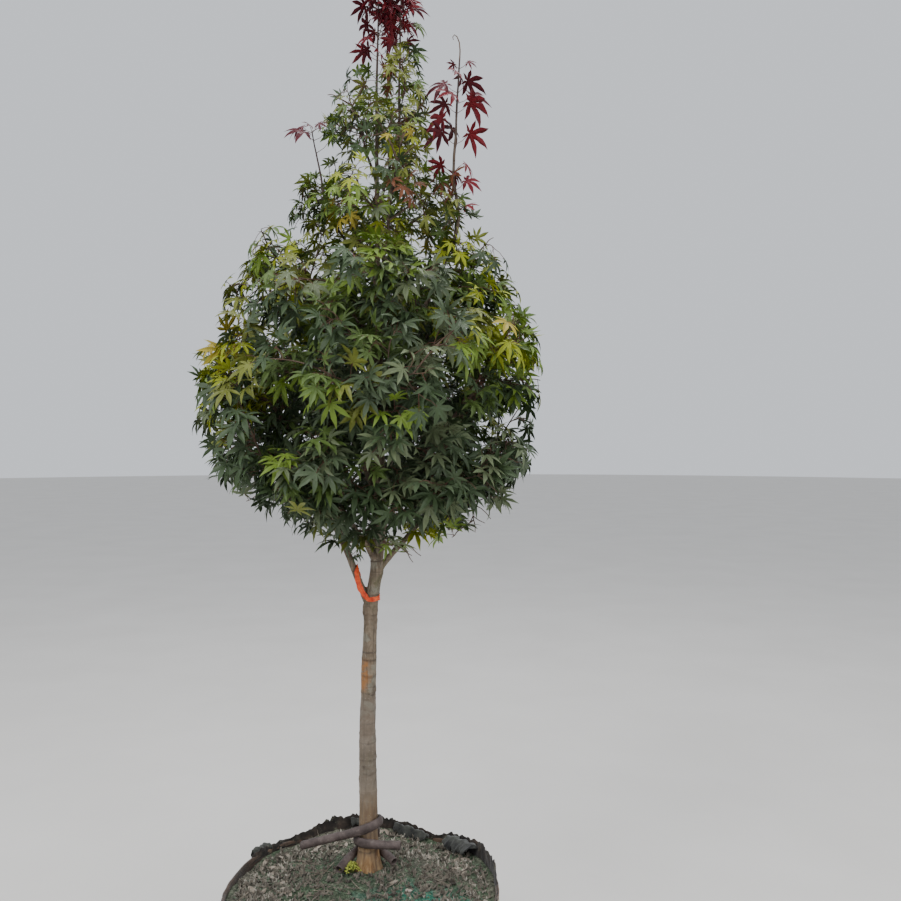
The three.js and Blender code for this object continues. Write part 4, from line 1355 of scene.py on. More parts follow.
# Fabric bag
bag = {
    "height": 0.390,
    "rimRadius": 0.370,
    "footRadius": 0.352,
    "bellyRadius": 0.372,
    "bellyHeight": 0.170,
    "wall": 0.006,
    "hemDepth": 0.028,
    "hemOut": 0.003,
    "columns": 288,
    "rows": 84,
    "fold": 0.008,
    "crease": 0.007,
    "lowerEdge": (0.010, 0.014),  # how far it is drawn in, up to which height
    "stitch": (0.006, 0.0016),  # over the hem's lower edge, and depth
    "stitches": 260,
    "lip": [(0.0012, 0.0006), (0.0045, 0.0016), (0.0078, 0.0006)],  # inwards from the rim, and up
    "inner": (0.372, 0.355, 0.330),  # heights down to the inner floor, under the soil
    # angle round the rim, and how far its torn edge stands over the hem
    "torn": [(-30, 0.0), (-8, 0.004), (0, 0.014), (9, 0.040), (25, 0.044), (34, 0.038), (44, 0.030), (58, 0.010),
             (64, 0.016), (75, 0.034), (88, 0.044), (106, 0.046), (114, 0.038), (121, 0.024), (133, 0.008),
             (140, 0.010), (149, 0.016), (156, 0.0)],
    "tornGrid": (300, 9),
    "tornThick": 0.0028,
    "tornRoot": 0.012,  # under the rim
    # middle angle, half angle, drop, lean of each flap: out over the rim, or inwards
    "flaps": [(147, 5, 0.026, 0.012), (70, 9, 0.030, -0.020), (38, 10, 0.026, -0.036),
              (96, 5, 0.016, -0.012), (196, 3, 0.014, 0.006), (282, 6, 0.020, 0.008)],
    "flapGrid": (30, 14),
    "flapThick": 0.0018,
    "handleAngles": (4, 184),
    "handleEnds": (0.300, 0.115),  # heights of the sewn patches
    "handleBow": 0.016,
    "handleSag": 0.006,
    "handleBand": (0.0125, 0.0022),  # half width and thickness
    "handlePatch": (0.019, 0.0026),
    "tape": (-52, -6),  # from and to, in degrees
    "tapeBand": (0.0055, 0.0016),
    "tapeSteps": 90,
}


def bagRadius(z):
    z = np.asarray(z, float)
    belly = np.clip(1 - ((z - bag["bellyHeight"]) / bag["bellyHeight"]) ** 2, 0, None)
    straight = bag["footRadius"] + (bag["rimRadius"] - bag["footRadius"]) * z / bag["height"]
    return straight + (bag["bellyRadius"] - (bag["footRadius"] + bag["rimRadius"]) / 2) * belly


def bagWrinkle(angles, z):
    # folds of the slack cloth, quiet near the hem; angles and z broadcast
    angles, z = np.broadcast_arrays(angles, z)

    def waves(across, tall, shift, octaves):
        return noiseAt(outsAt(angles) * across + up * (z * tall)[..., None], 1.0, shift, octaves)

    folds = waves(5.0, 2.2, 3.0, 2)
    crease = -(np.clip(1 - 5 * np.abs(waves(9.0, 5.0, 8.0, 1)), 0, 1) ** 2)
    slump = waves(4.0, 26.0, 17.0, 2) * np.clip(1 - z / 0.20, 0, 1)
    quiet = 0.25 + 0.75 * np.clip((0.37 - z) / 0.09, 0, 1)
    return quiet * (bag["fold"] * folds + bag["crease"] * crease * 0.6 + 0.006 * slump)


def bagSkin(angles, z):
    return bagRadius(z) + bagWrinkle(angles, z)


def rimWave(angles):
    return 0.0035 * np.sin(3 * angles + 0.6) + 0.0025 * np.sin(7 * angles + 2.0) + 0.0012 * np.sin(17 * angles)


def bagFinish():
    finish = Finish("weathered felt", 0.93, sheen=0.25, specular=0.2)
    broad = finish.noise(7, 5, 0.62)
    finish.under(broad, [
        (0.30, (0.030, 0.020, 0.014)), (0.48, (0.070, 0.043, 0.029)),
        (0.62, (0.125, 0.078, 0.052)), (0.78, (0.165, 0.120, 0.085))])
    streaks = finish.noise(1, 4, 0.6, finish.stretched((42, 42, 3.5)))
    finish.stain(streaks, 0.52, 0.70, (0.034, 0.027, 0.021))
    wet = finish.sum(finish.z, finish.times(finish.noise(5, 4, 0.6, warp=0.4), 0.22), "SUBTRACT")
    finish.stain(wet, 0.17, 0.05, (0.020, 0.017, 0.010))
    algae = finish.mask(finish.noise(8, 5, 0.65, warp=0.5), 0.44, 0.58)
    finish.over(finish.times(algae, finish.mask(wet, 0.24, 0.08)), finish.ramp(finish.noise(60, 3), [
        (0.35, (0.045, 0.062, 0.012)), (0.55, (0.095, 0.130, 0.022)), (0.7, (0.160, 0.190, 0.035))]))
    lichen = finish.noise(26, 5, 0.7, warp=0.8)
    finish.stain(lichen, 0.61, 0.70, (0.250, 0.255, 0.205), finish.band(0.24, 0.40, 0.08))
    finish.stain(finish.noise(95, 3, 0.7), 0.55, 0.75, (0.155, 0.105, 0.072), 0.5)  # dust
    finish.roughness(broad, 0.84, 1.0)
    finish.bump(finish.noise(900, 3, 0.7), 0.0007, 0.7)
    finish.bump(finish.cells(420), 0.0006, 0.5)
    return finish.done()


def makeBag(material):
    angles = turnsOf(bag["columns"])
    heights = np.linspace(0.0, bag["height"] - 0.002, bag["rows"])[:, None]
    hemAt = bag["height"] - bag["hemDepth"]
    outer = bagSkin(angles, heights)
    drawnIn, edgeHigh = bag["lowerEdge"]
    outer -= drawnIn * np.clip(1 - heights / edgeHigh, 0, 1) ** 2
    outer += bag["hemOut"] * np.clip((heights - hemAt) / 0.003, 0, 1)
    stitchUp, stitchDeep = bag["stitch"]
    seam = stitchDeep * bell((heights - hemAt - stitchUp) / stitchDeep)
    outer -= seam * (0.6 + 0.4 * np.sin(angles * bag["stitches"]))
    wave = rimWave(angles)
    rows = [*zip(outer, heights + np.clip((heights - 0.30) / 0.09, 0, 1) ** 2 * wave)]
    rim, top = outer[-1], bag["height"] + wave
    rows += [(rim - within, top + rise) for within, rise in bag["lip"]]
    rows.append((rim - bag["wall"] - bag["hemOut"], top - 0.003))
    rows += [(bagSkin(angles, z) - bag["wall"], z + wave * 0.6) for z in bag["inner"]]
    rings = np.array([ringOf(angles, radius, z) for radius, z in rows])
    return Shell().loft(rings).piece("growBag", material)


def rimRise(angles):
    # how far the torn edge stands over the hem
    degrees = (np.degrees(angles) + 90) % 360 - 90
    rows = np.array(bag["torn"])
    return np.interp(degrees, rows[:, 0], rows[:, 1], left=0.0, right=0.0)


def makeTornEdge(material):
    # upstanding cloth with a frayed top, leaning a little outwards
    count, steps = bag["tornGrid"]
    angles = np.radians(np.linspace(bag["torn"][0][0], bag["torn"][-1][0], count))
    around = outsAt(angles)
    rim = bagSkin(angles, bag["height"]) - 0.004
    base = bag["height"] + rimWave(angles) - bag["tornRoot"]
    ragged = 1 + 0.22 * noiseAt(around, 14.0, 2.0, 3) + 0.12 * noiseAt(around, 60.0, 5.0, 2)
    height = bag["tornRoot"] + rimRise(angles) * ragged + 0.0012 * np.sin(angles * 90)
    shares = np.linspace(0, 1, steps)
    grid = []
    for t in shares:
        place = around * 9.0 + up * t * 0.8
        sway = (0.006 * noiseAt(place, 1.0, 4.0, 2) + 0.002 * noiseAt(place, 4.0, 9.0, 2)) * t
        grid.append(ringOf(angles, rim + sway + 0.004 * t * t, base + height * t))
    grid = np.array(grid)
    back = grid - around * bag["tornThick"] * (1 - 0.55 * shares[:, None, None])
    return Shell().sheet(grid, back).piece("tornEdge", material)


def makeFlaps(material):
    shell = Shell()
    for number, (middle, half, drop, lean) in enumerate(bag["flaps"]):
        count, steps = bag["flapGrid"]
        angles = np.radians(np.linspace(middle - half, middle + half, count))
        edge = np.sin(np.linspace(0, math.pi, count)) ** 0.45
        frayed = 1 + 0.5 * noiseAt(outsAt(angles), 30.0, number, 3)
        inset, way = (0.006, -1) if lean < 0 else (0.001, 1)
        lean = abs(lean)
        rim = bagSkin(angles, bag["height"]) - inset
        top = bag["height"] + rimWave(angles) + rimRise(angles) * 0.85
        grid = []
        for t in np.linspace(0, 1, steps):
            # up to the edge, over it and down again
            arc, fall = min(1.0, t / 0.4), max(0.0, (t - 0.4) / 0.6)
            radius = rim + way * (0.008 + lean * 0.45) * (1 - math.cos(math.pi * arc)) / 2
            radius = radius + way * lean * 0.6 * math.sin(fall * 2.0)
            z = top - 0.008 + 0.012 * math.sin(math.pi * arc * 0.75) - drop * fall * (0.35 + 0.65 * edge) * frayed
            ripple = 0.0028 * np.sin(angles * 55 + number * 1.7 + t * 3) + 0.0014 * np.sin(angles * 131 - t * 5)
            grid.append(ringOf(angles, radius + ripple, z + 0.4 * ripple))
        grid = np.array(grid)
        face = unitRows(np.cross(np.gradient(grid, axis=1), np.gradient(grid, axis=0)))
        shell.sheet(grid, grid - face * bag["flapThick"])
    return shell.piece("rimFlaps", material)


def makeHandles(material):
    shell = Shell()
    t = np.linspace(0, 1, 48)
    top, bottom = bag["handleEnds"]
    bow = np.clip(np.sin(math.pi * np.clip((t - 0.08) / 0.84, 0, 1)), 0, 1) ** 0.8
    for angle in np.radians(bag["handleAngles"]):
        out, across = outAt(angle), outAt(angle + math.pi / 2)

        def along(z, stand, sag=0.0):
            skin = (bagSkin(angle, z) + stand)[:, None]
            return out * skin + across * np.broadcast_to(sag, z.shape)[:, None] + up * z[:, None]

        sag = bag["handleSag"] * np.sin(math.pi * t) * np.sin(5 * t)
        band = along(top + (bottom - top) * t, 0.0035 + bag["handleBow"] * bow, sag)
        shell.strip(band, across, *bag["handleBand"])
        reach = bag["handlePatch"][0]
        for end in (top, bottom):
            shell.strip(along(np.linspace(end + reach, end - reach, 10), 0.0022), across, *bag["handlePatch"])
    return shell.piece("bagHandles", material)


def makeWornEdge(material):
    # pale frayed tape of the hem, on the right of the front
    steps, (wide, thick) = bag["tapeSteps"], bag["tapeBand"]
    angles = np.radians(np.linspace(*bag["tape"], steps))
    rim = bagRadius(bag["height"]) + bag["hemOut"] + bagWrinkle(angles, bag["height"])
    ripple = 0.0012 * np.sin(angles * 70)
    path = ringOf(angles, rim + 0.0012 + ripple, bag["height"] + rimWave(angles) - 0.007 + ripple)
    half = wide * np.clip(np.sin(np.linspace(0.15, math.pi - 0.15, steps)) * 2.2, 0.2, 1)
    half = half * (1 + 0.25 * np.sin(angles * 150))
    return Shell().strip(path, up, half, thick).piece("hemTape", material)


def clothFinish(name, dark, light):
    finish = Finish(name, 0.9, sheen=0.2, specular=0.25)
    finish.under(finish.noise(34, 5, 0.65), [(0.34, dark), (0.66, light)])
    finish.bump(finish.cells(700), 0.0005, 0.6)
    finish.bump(finish.noise(260, 3, 0.6), 0.0005, 0.5)
    return finish.done()


def tornFinish():
    # black with brown and pale grey-green stains
    finish = Finish("torn cloth", 0.92, sheen=0.2, specular=0.2)
    finish.under(finish.noise(22, 5, 0.65), [
        (0.34, (0.010, 0.009, 0.008)), (0.52, (0.030, 0.024, 0.020)), (0.70, (0.085, 0.060, 0.045))])
    finish.stain(finish.noise(36, 4, 0.7, warp=0.6), 0.58, 0.68, (0.130, 0.135, 0.090), 0.7)
    finish.bump(finish.cells(700), 0.0005, 0.6)
    finish.bump(finish.noise(260, 3, 0.6), 0.0006, 0.6)
    return finish.done()


# Soil
soil = {
    "edgeDrop": 0.016,
    "mound": 0.047,
    "columns": 150,
    "rings": 66,
    "rough": 0.006,
    "grain": 0.003,
    "seat": 0.062,
}


def moundAt(share):
    # height at a share of the way from the trunk to the wall
    lift = 0.5 + 0.5 * math.cos(math.pi * min(1, share * 1.08))
    return bag["height"] - soil["edgeDrop"] + soil["mound"] * lift


def soilTop(x, y):
    # height of the mound at a place, before its roughness
    footX, footY, _ = trunkShape["foot"]
    edge = bag["height"] - soil["edgeDrop"]
    reach = float(bagRadius(edge)) - bag["wall"]
    low, high = 0.0, 1.2
    for _ in range(24):
        share = (low + high) / 2
        inside = math.hypot(x - footX * (1 - share), y - footY * (1 - share)) < reach * share
        low, high = (low, share) if inside else (share, high)
    return moundAt(share)


def soilFinish():
    finish = Finish("old mulch", 0.95, specular=0.25)
    grain = finish.noise(120, 5, 0.72)
    finish.under(grain, [
        (0.34, (0.020, 0.017, 0.013)), (0.48, (0.070, 0.066, 0.051)),
        (0.60, (0.172, 0.162, 0.126)), (0.76, (0.330, 0.306, 0.244))])
    green = finish.mask(finish.noise(8, 4, 0.6, warp=0.5), 0.40, 0.58)
    finish.over(finish.times(green, 0.8), finish.ramp(grain, [
        (0.35, (0.020, 0.032, 0.018)), (0.65, (0.100, 0.150, 0.086))]))
    away = finish.stretched((1, 1, 1), (-0.16, 0.17, -0.39))
    length = finish.add("ShaderNodeVectorMath", {0: away}, operation="LENGTH")
    spot = finish.sum(length.outputs["Value"], finish.times(finish.noise(13, 4, 0.6), 0.30))
    teal = finish.times(finish.mask(spot, 0.36, 0.25), finish.mask(finish.noise(55, 4, 0.7), 0.38, 0.54))
    finish.over(teal, finish.ramp(grain, [
        (0.35, (0.010, 0.062, 0.040)), (0.55, (0.036, 0.170, 0.115)), (0.72, (0.120, 0.330, 0.240))]))
    finish.bump(finish.noise(240, 4, 0.7), 0.0020, 0.9)
    finish.bump(finish.cells(150, edges=True), 0.0018, 0.6)
    return finish.done()


def makeSoil(material):
    foot = np.array([*trunkShape["foot"][:2], 0.0])
    edge = bag["height"] - soil["edgeDrop"]
    angles = turnsOf(soil["columns"])
    reach = bagRadius(edge) - bag["wall"] * 0.5 + bagWrinkle(angles, edge)
    rings = [ringOf(angles, reach, z) for z in (bag["inner"][-1] + 0.004, edge - 0.010)]
    for share in np.linspace(1.0, 0.02, soil["rings"]):
        ring = ringOf(angles, reach * share, moundAt(share)) + foot * (1 - share)
        calm = 0.5 if reach.mean() * share < soil["seat"] else 1.0
        ring[:, 2] += 0.55 * rimRise(angles) * max(0.0, (share - 0.55) / 0.45) ** 1.5
        coarse, fine = noiseAt(ring, 16.0, 1.0, 4), noiseAt(ring, 70.0, 7.0, 3)
        ring[:, 2] += calm * soil["rough"] * coarse + calm * soil["grain"] * fine
        if share == 1.0:
            ring[:, 2] -= 0.003
        rings.append(ring)
    return Shell().loft(np.array(rings)).piece("mulch", material)


def coverCopy(source, name, keep, weight):
    # the faces of a piece that litter may fall on, as a sheet with a cover value
    mesh = source.data
    chosen = [p for p in mesh.polygons if keep(p.center, p.normal)]
    used = sorted({v for p in chosen for v in p.vertices})
    place = {v: i for i, v in enumerate(used)}
    spots = [mesh.vertices[v].co for v in used]
    carrier = linked(name, meshOf(name, spots, (), [[place[v] for v in p.vertices] for p in chosen]))
    markPoints(carrier, cover=[weight(spot) for spot in spots])
    return carrier


def slabForm(chance, length, width, thick, bend=0.0):
    # a split chip: an uneven outline with a top and an underside
    count = chance.choice((5, 6, 7))
    turns = [fullTurn * (i + chance.uniform(-0.3, 0.3)) / count for i in range(count)]
    outline = [(math.cos(turn) * length / 2 * chance.uniform(0.75, 1.1),
                math.sin(turn) * width / 2 * chance.uniform(0.75, 1.1)) for turn in turns]
    points = []
    for side in (1, -1):
        for x, y in outline:
            points.append((x, y, side * thick / 2 * chance.uniform(0.6, 1.1) + bend * x * x / length))
    points += [(0, 0, thick * 0.62), (0, 0, -thick * 0.62)]
    faces = []
    for i in range(count):
        k = (i + 1) % count
        faces += [(i, k, 2 * count), (count + k, count + i, 2 * count + 1), (count + i, count + k, k, i)]
    return points, faces


def stickForm(chance, length, radius):
    bend = chance.uniform(-0.12, 0.12) * length
    line = np.array([(length * (t - 0.5), bend * math.sin(math.pi * t), 0.001) for t in np.linspace(0, 1, 5)])
    rings, _, _ = tubeRings(line, np.linspace(radius, radius * 0.6, 5), 4)
    shell = Shell().loft(rings)
    return shell.points, shell.faces


def dryLeafForm(chance):
    # an oval dead leaf, curled along its rib and turned up at one end
    length, width = chance.uniform(0.024, 0.040), chance.uniform(0.010, 0.017)
    curl, lift = chance.uniform(12, 34), chance.uniform(-6, 14)
    rows, columns = 7, 5
    points = []
    for i in range(rows):
        along = i / (rows - 1)
        half = width * math.sin(math.pi * (0.04 + 0.92 * along)) ** 0.8 * chance.uniform(0.85, 1.1)
        for j in range(columns):
            across = (j / (columns - 1) - 0.5) * half
            x = (along - 0.5) * length
            z = curl * across**2 + lift * max(0.0, x) ** 2 + 0.003
            points.append((x, across, z + chance.uniform(0, 0.0008)))
    faces = []
    for i in range(rows - 1):
        for j in range(columns - 1):
            k = i * columns + j
            faces.append((k, k + columns, k + columns + 1, k + 1))
    return points, faces


def rosetteForm(chance, size, count, lean, width=0.22):
    # small weed: pointed leaflets round a point
    points, faces = [], []
    for i in range(count):
        out = outAt(fullTurn * (i + chance.uniform(-0.3, 0.3)) / count)
        side = np.array([-out[1], out[0], 0.0])
        rise = chance.uniform(*lean)
        length = size * chance.uniform(0.7, 1.15)
        along = unit(out + up * rise) * length
        start = len(points)
        points += [out * size * 0.05, along * 0.5 + side * length * width + up * size * 0.06, along * 0.5,
                   along * 0.5 - side * length * width + up * size * 0.06, along - up * size * 0.08]
        faces += [(start, start + 2, start + 1), (start, start + 3, start + 2),
                  (start + 1, start + 2, start + 4), (start + 2, start + 3, start + 4)]
    return points, faces


# What lies on the mulch and grows on the wall
litter = {
    # name, form, density, seed, smallest, largest, tilt, slot, how it is spread, dark, light
    "mulch": [
        ("barkChips", "chip", 6500, 3, 0.5, 1.5, 0.6, "bark", "patchy",
         (0.056, 0.047, 0.036), (0.240, 0.208, 0.165)),
        ("paleChips", "chip", 3200, 4, 0.5, 1.3, 0.6, "bark", "sides",
         (0.160, 0.145, 0.115), (0.480, 0.440, 0.370)),
        ("mossySpecks", "speck", 5600, 5, 0.6, 1.5, 0.9, "soil", "patchy",
         (0.024, 0.040, 0.021), (0.140, 0.195, 0.118)),
        ("dryLeaves", "dryLeaf", 620, 6, 0.5, 1.05, 0.5, "bark", "sides",
         (0.150, 0.120, 0.090), (0.420, 0.360, 0.290)),
        ("sticks", "stick", 320, 7, 0.6, 1.3, 0.12, "bark", "patchy",
         (0.090, 0.070, 0.050), (0.300, 0.250, 0.190)),
    ],
    # name, form, density, seed, smallest, largest, tilt, colour, how it is spread
    "wall": [
        ("bagMoss", "moss", 8200, 8, 0.6, 1.5, 0.5, (0.110, 0.145, 0.0235), "moss"),
        ("bagWeeds", "weed", 4600, 9, 0.6, 1.4, 0.6, (0.115, 0.235, 0.040), "weeds"),
        ("deadGrass", "grass", 900, 10, 0.5, 1.1, 0.5, (0.325, 0.250, 0.1475), "grass"),
    ],
    "edge": 0.026,  # bare, along the wall
    "clear": 0.047,  # bare, round the trunk
}


def litterForms(chance):
    def rosettes(count, *shape):
        return [rosetteForm(chance, *shape) for _ in range(count)]

    forms = {
        "chip": [slabForm(chance, 0.014, 0.007, 0.0024, chance.uniform(-2, 5)) for _ in range(8)],
        "speck": [slabForm(chance, 0.008, 0.005, 0.0025) for _ in range(5)],
        "stick": [stickForm(chance, chance.uniform(0.04, 0.10), 0.0012) for _ in range(5)],
        "dryLeaf": [dryLeafForm(chance) for _ in range(8)],
        "moss": rosettes(5, 0.0105, 5, (0.6, 1.8)),
        "weed": rosettes(6, 0.016, 6, (0.25, 1.1)),
        "grass": rosettes(5, 0.042, 9, (0.2, 1.2), 0.035),
    }
    return {name: formCollection(name, rows) for name, rows in forms.items()}


def makeLitter(mulch, wall, trees):
    edge = float(bagRadius(0.374)) - litter["edge"]
    footX, footY, _ = trunkShape["foot"]
    forms = litterForms(random.Random(77))

    def onTop(centre, normal):
        clear = math.hypot(centre.x - footX, centre.y - footY) > litter["clear"]
        return normal.z > 0.3 and centre.z > 0.36 and math.hypot(centre.x, centre.y) < edge and clear

    def onWall(centre, normal):
        outside = math.hypot(centre.x, centre.y) > 0.345 and abs(normal.z) < 0.6
        return outside and 0.012 < centre.z < 0.352

    def patches(co, scale, shift, *octaves):
        # smooth noise, or with octaves fractal noise, at a shifted place
        spot = co * scale + Vector(shift)
        return noise.fractal(spot, 0.7, 2.0, *octaves) if octaves else noise.noise(spot)

    def patchy(co):
        return 0.35 + 0.65 * clamped(0.5 + 1.6 * noise.noise(co * 7.0))

    def sides(co):
        # thick near the sides, thin in the wet middle
        out = math.hypot(co.x, co.y) / edge
        return clamped(1.5 * out**2 - 0.25 + 1.3 * patches(co, 6.0, (4, 1, 0)))

    def moss(co):
        low = into(co.z, 0.29, -0.12)
        return clamped(0.55 + 3.0 * patches(co, 6.0, (0, 0, 5), 3)) * (0.06 + 0.94 * low)

    def weeds(co):
        low = min(into(co.z, 0.30, -0.16), into(co.z, 0.016, 0.006))
        return low * clamped(3.2 * patches(co, 4.5, (2, 0, 9), 2) + 0.05)

    def grass(co):
        low = min(into(co.z, 0.20, -0.12), into(co.z, 0.052, 0.010))
        return low * clamped(4.0 * patches(co, 5.0, (7, 3, 0)) - 0.3)

    spreads = {"patchy": patchy, "sides": sides, "moss": moss, "weeds": weeds, "grass": grass}

    def strew(source, keep, finish, spread, name, form, density, seed, smallest, largest, tilt):
        carrier = coverCopy(source, name + "Ground", keep, spreads[spread])
        return runNodes(name, carrier, trees["litter"], Forms=forms[form], Material=finish, Seed=seed, Tilt=tilt,
                        Density=float(density), Smallest=smallest, Largest=largest)

    pieces = []
    for *shape, slot, spread, dark, light in litter["mulch"]:
        finish = clothFinish(shape[0] + " finish", dark, light)
        pieces.append((strew(mulch, onTop, finish, spread, *shape), slot, ["soil"]))
    for *shape, colour, spread in litter["wall"]:
        finish = leafFinish(shape[0] + " finish", colour)
        pieces.append((strew(wall, onWall, finish, spread, *shape), "leaf_green", ["fabric_bag"]))
    return pieces


# Yellow-green seedling at the trunk's foot
seedling = {
    "place": (-0.034, 0.030),
    "leaves": 46,
    "spread": 0.026,
    "height": 0.030,
    "leaf": (0.330, 0.370, 0.060),
    "stem": (0.190, 0.210, 0.060),
}


def makeSeedling(trees):
    chance = random.Random(9)
    x, y = seedling["place"]
    ground = soilTop(x, y)
    forms = formCollection("seedLeaf", [rosetteForm(chance, 0.011, 4, (0.1, 0.7)) for _ in range(4)])
    rows, stems = [], []
    for _ in range(seedling["leaves"]):
        heading, out = outAt(chance.uniform(0, fullTurn)), seedling["spread"] * chance.random() ** 0.5
        lift = seedling["height"] * (1 - 0.5 * (out / seedling["spread"]) ** 2) * chance.uniform(0.5, 1)
        p = np.array([x, y, ground + lift]) + heading * out
        foot = np.array([x, y, ground - 0.004]) + heading * out * 0.25
        rows.append((p, unit(heading * 0.4 + up), heading, chance.uniform(0.7, 1.2)))
        stems.append(([foot, (foot + p) / 2 + up * 0.004, p], [0.0007, 0.0006, 0.0005]))
    carrier = pointCarrier("seedPoints", [(*row, chance.randrange(4)) for row in rows])
    leafSkin = leafFinish("seedling leaf", seedling["leaf"])
    stemSkin = woodFinish("seedling stem", seedling["stem"])
    leaves = runNodes("seedlingLeaves", carrier, trees["scatter"], Forms=forms, Material=leafSkin)
    stalks = runNodes("seedlingStems", lineCarrier("seedStems", stems), trees["twig"], Sides=3, Material=stemSkin)
    return [(piece, "leaf_green", ["soil"]) for piece in (leaves, stalks)]


# Rubber hoses round the foot
hose = {
    "radius": 0.0115,
    "wall": 0.0026,
    "clearance": 0.0003,
    "flareShare": 0.48,
    "flat": 0.42,  # of its thickness lost where it is drawn round the trunk
    "bulge": 0.22,
    "pinch": 0.0014,
    "columns": 26,
    "count": 110,
    # name, open side, height, both arms, fall, splay in degrees
    "runs": [
        ("hose_left", 158, 0.552, (0.190, 0.045), 0.088, 0),
        ("hose_right", 356, 0.501, (0.028, 0.096), 0.000, 0),
        ("hose_front", 277, 0.464, (0.062, 0.082), 0.040, 35),
    ],
}


def flareAt(z):
    low = max(0.0, 1 - (z - trunkShape["foot"][2]) / trunkShape["flareHeight"])
    return trunkShape["flareOut"] * low**2


def hoseLine(openAt, height, arms, fall, splay):
    x0, y0, thick = trunkAt(height)
    heading = math.radians(openAt)
    half = math.radians(90 + splay)
    bend = (fullTurn - 2 * half) / 6
    radius = thick * (1 + hose["flareShare"] * flareAt(height - fall * 0.42)) + hose["radius"] + hose["clearance"]
    radius /= math.cos(bend / 2)
    points = []

    def place(angle, out, side):
        away = heading + side * math.radians(splay)
        x = x0 + radius * math.cos(heading + angle) + out * math.cos(away)
        y = y0 + radius * math.sin(heading + angle) + out * math.sin(away)
        along = (x - x0) * math.cos(heading) + (y - y0) * math.sin(heading)
        points.append((x, y, height - fall * (along + radius) / (max(arms) + radius)))

    shares = (1.0, 0.66, 0.33)
    for share in shares:
        place(half, arms[0] * share, 1)
    for i in range(7):
        place(half + bend * i, 0.0, 1 if i < 4 else -1)
    for share in shares[::-1]:
        place(-half, arms[1] * share, -1)
    return np.array(points)


def hoseFinish():
    finish = Finish("aged rubber", 0.62, specular=0.4)
    broad = finish.noise(30, 4, 0.6)
    finish.under(broad, [
        (0.32, (0.042, 0.030, 0.027)), (0.50, (0.080, 0.058, 0.053)), (0.68, (0.128, 0.097, 0.088))])
    finish.stain(finish.noise(85, 5, 0.7), 0.55, 0.72, (0.200, 0.165, 0.140), 0.6)  # dust
    finish.roughness(broad, 0.50, 0.80)
    finish.bump(finish.noise(120, 4, 0.6), 0.0008, 0.6)
    return finish.done()


def makeHoses(material):
    pieces = []
    for name, *run in hose["runs"]:
        line = smoothed(resample(hoseLine(*run), hose["count"] + 16), 11)
        line = resample(line, hose["count"])
        rings, across, angles = tubeRings(line, np.full(len(line), hose["radius"]), hose["columns"])
        bent = np.linalg.norm(np.gradient(np.gradient(line, axis=0), axis=0), axis=1)
        pinch = np.clip(bent / bent.max(), 0, 1)[:, None] * hose["pinch"]
        relief = 0.0008 * noiseAt(rings, 38.0, 2.0, 3) - 0.0005 * np.clip(noiseAt(rings, 14.0, 6.0, 2), 0, 1)
        relief -= pinch * np.abs(np.cos(angles)) ** 2
        outer = rings + across * relief[..., None]
        inner = outer - across * hose["wall"]
        x0, y0, thick = trunkAt(run[1])
        off = (line - np.array([x0, y0, 0.0])) * np.array([1, 1, 0])
        apart = np.linalg.norm(off, axis=1)
        away = (off / apart[:, None])[:, None]
        drawn = np.clip(1.6 - (apart - thick) / (hose["radius"] * 1.5), 0, 1)[:, None]
        for skin in (outer, inner):
            # the hose is pressed flat against the bark, and bulges up and down
            spread = skin - line[:, None]
            out = (spread * away).sum(axis=2)
            skin -= away * ((out + hose["radius"]) * hose["flat"] * drawn)[..., None]
            skin[..., 2] += spread[..., 2] * hose["bulge"] * drawn
        first, last = (outer[k] * 0.5 + inner[k] * 0.5 for k in (0, -1))
        shell = Shell().loft(np.concatenate([outer, last[None], inner[::-1], first[None]]), closedPath=True)
        pieces.append((shell.piece("rubber" + name.split("_")[1].title(), material), "hose_rubber", [name]))
    return pieces


# Crumpled ribbon round both stems
ribbon = {
    # its way: stem, degrees from and to, height from and to; or a free point and where it faces
    "way": [
        ("trunk", 95, 0, 1.182, 1.171), ("trunk", 0, -118, 1.171, 1.167),
        ("free", (0.0095, 0.0360, 1.1745), -96), ("free", (-0.0050, 0.0345, 1.1945), -94),
        ("second", -88, -70, 1.2180, 1.236), ("second", -66, 0, 1.243, 1.260),
        ("second", 0, 66, 1.260, 1.250), ("second", 75, 95, 1.238, 1.196),
    ],
    "width": 0.016,
    "clearance": 0.0014,
    "slack": 0.003,
    "count": 240,
    "columns": 13,
}


def ribbonWay(plan):
    # points and facings along the loop
    second = limbNamed(plan, "second_stem")
    rows = []
    for stem, *spot in ribbon["way"]:
        if stem == "free":
            rows.append((*spot[0], *outAt(math.radians(spot[1]))))
            continue
        first, last, low, high = spot
        for degrees, z in zip(np.linspace(first, last, 12), np.linspace(low, high, 12)):
            facing = outAt(math.radians(degrees))
            if stem == "trunk":
                x, y, r = trunkAt(z)
                r += ribbon["clearance"]
            else:
                x, y, _ = second["line"][np.argmax(second["line"][:, 2] > z)]
                r = second["radius"] + ribbon["slack"]
            rows.append((x + r * facing[0], y + r * facing[1], z, *facing))
    closed = np.array([*rows, rows[0]])
    places = lengthsAlong(closed[:, :3])
    steps = np.linspace(0, places[-1], ribbon["count"], endpoint=False)
    even = smoothed(columnsAt(steps, places, closed), 11, "wrap")
    return even[:, :3], even[:, 3:]


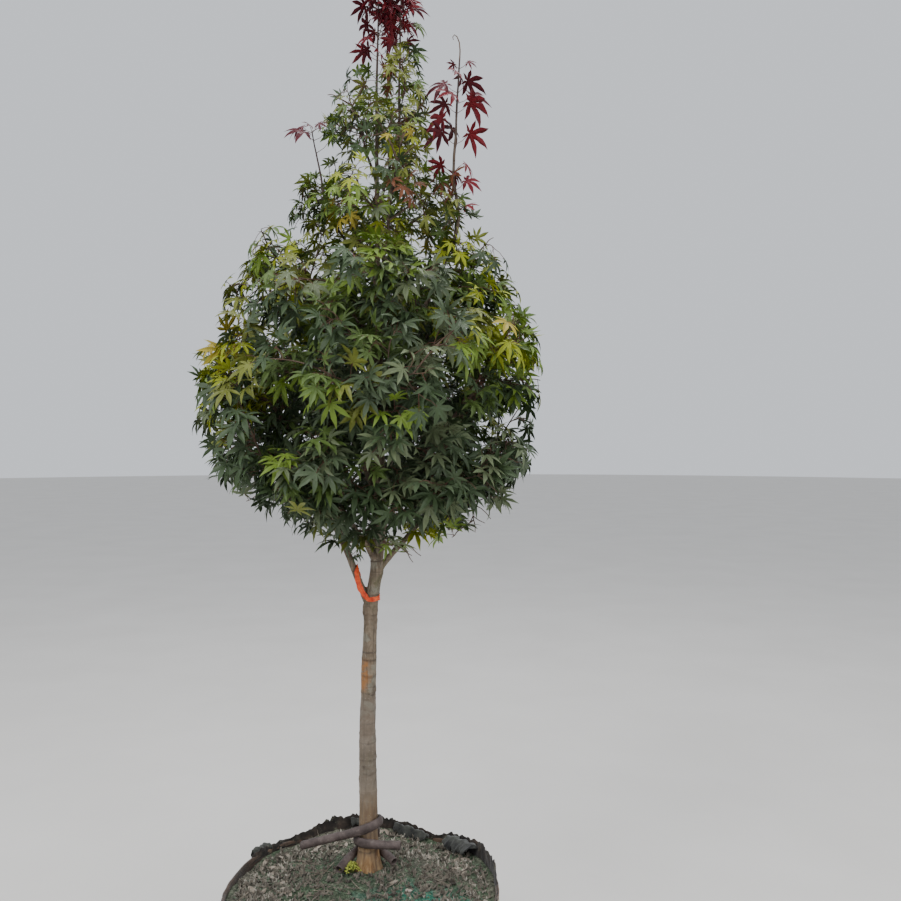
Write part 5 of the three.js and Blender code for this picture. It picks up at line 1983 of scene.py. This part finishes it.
def makeRibbon(plan):
    finish = Finish("nylon ribbon", 0.5, specular=0.4)
    finish.under(finish.noise(60, 4, 0.6), [
        (0.34, (0.400, 0.030, 0.008)), (0.52, (0.720, 0.075, 0.014)), (0.70, (0.860, 0.160, 0.035))])
    finish.bump(finish.noise(300, 3, 0.6), 0.0005, 0.6)
    loop, facing = ribbonWay(plan)
    tangents = unitRows(np.roll(loop, -1, axis=0) - np.roll(loop, 1, axis=0))
    across = unitRows(np.cross(facing, tangents))
    outward = np.cross(tangents, across)
    outward *= np.sign((outward * facing).sum(axis=1))[:, None]
    along = np.arange(ribbon["count"]) / ribbon["count"] * fullTurn
    half = ribbon["width"] / 2 * (0.86 + 0.12 * np.sin(3 * along + 0.5) + 0.08 * np.sin(11 * along))
    sides = []
    for side, first in ((1, -1), (0, 1)):
        for share in np.linspace(first, -first, ribbon["columns"]):
            folds = 0.0016 * np.abs(np.sin(share * 5.2 + 2.2 * np.sin(2 * along)))
            folds = folds + 0.0010 * np.sin(share * 9 + 9 * along)
            stand = 0.0004 + np.clip(folds, 0, None) + 0.0006 * side
            sides.append(loop + across * (half * share)[:, None] + outward * stand[:, None])
    return Shell().loft(np.stack(sides, axis=1), closedPath=True).piece("orangeRibbon", finish.done())


# Making
makeCamera()
makeStudio()
trees = {"twig": twigTree(), "scatter": scatterTree(), "litter": litterTree()}
plan = limbPlan()
print("limbs planned:", len(plan), "entries:", [round(row["entry"], 2) for row in plan])

barkSkin = barkFinish()
made = [(makeTrunk(plan, barkSkin), "bark", ["trunk"])]
boughNodes = [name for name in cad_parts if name.startswith("bough_")]
made.append((makeBoughs(plan, barkSkin), "bark", boughNodes))
print("bark made")

made += makeCrown(plan, trees)
print("crown made")

wall = makeBag(bagFinish())
cloths = [
    wall,
    makeFlaps(clothFinish("black flap", (0.010, 0.010, 0.010), (0.060, 0.062, 0.052))),
    makeTornEdge(tornFinish()),
    makeHandles(clothFinish("webbing", (0.290, 0.330, 0.180), (0.560, 0.580, 0.400))),
    makeWornEdge(clothFinish("hem tape", (0.330, 0.270, 0.190), (0.640, 0.560, 0.430))),
]
made += [(piece, "bag_fabric", ["fabric_bag"]) for piece in cloths]
mulch = makeSoil(soilFinish())
made.append((mulch, "soil", ["soil"]))
made += makeLitter(mulch, wall, trees)
made += makeSeedling(trees)
print("bag and soil made")

made += makeHoses(hoseFinish())
made.append((makeRibbon(plan), "ribbon", ["ribbon"]))

for piece, slot, nodes in made:
    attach(piece, "root")
    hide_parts(*nodes)
total = sum(len(polygon.vertices) - 2 for piece, _, _ in made for polygon in piece.data.polygons)
print("pieces:", len(made), "triangles:", total)
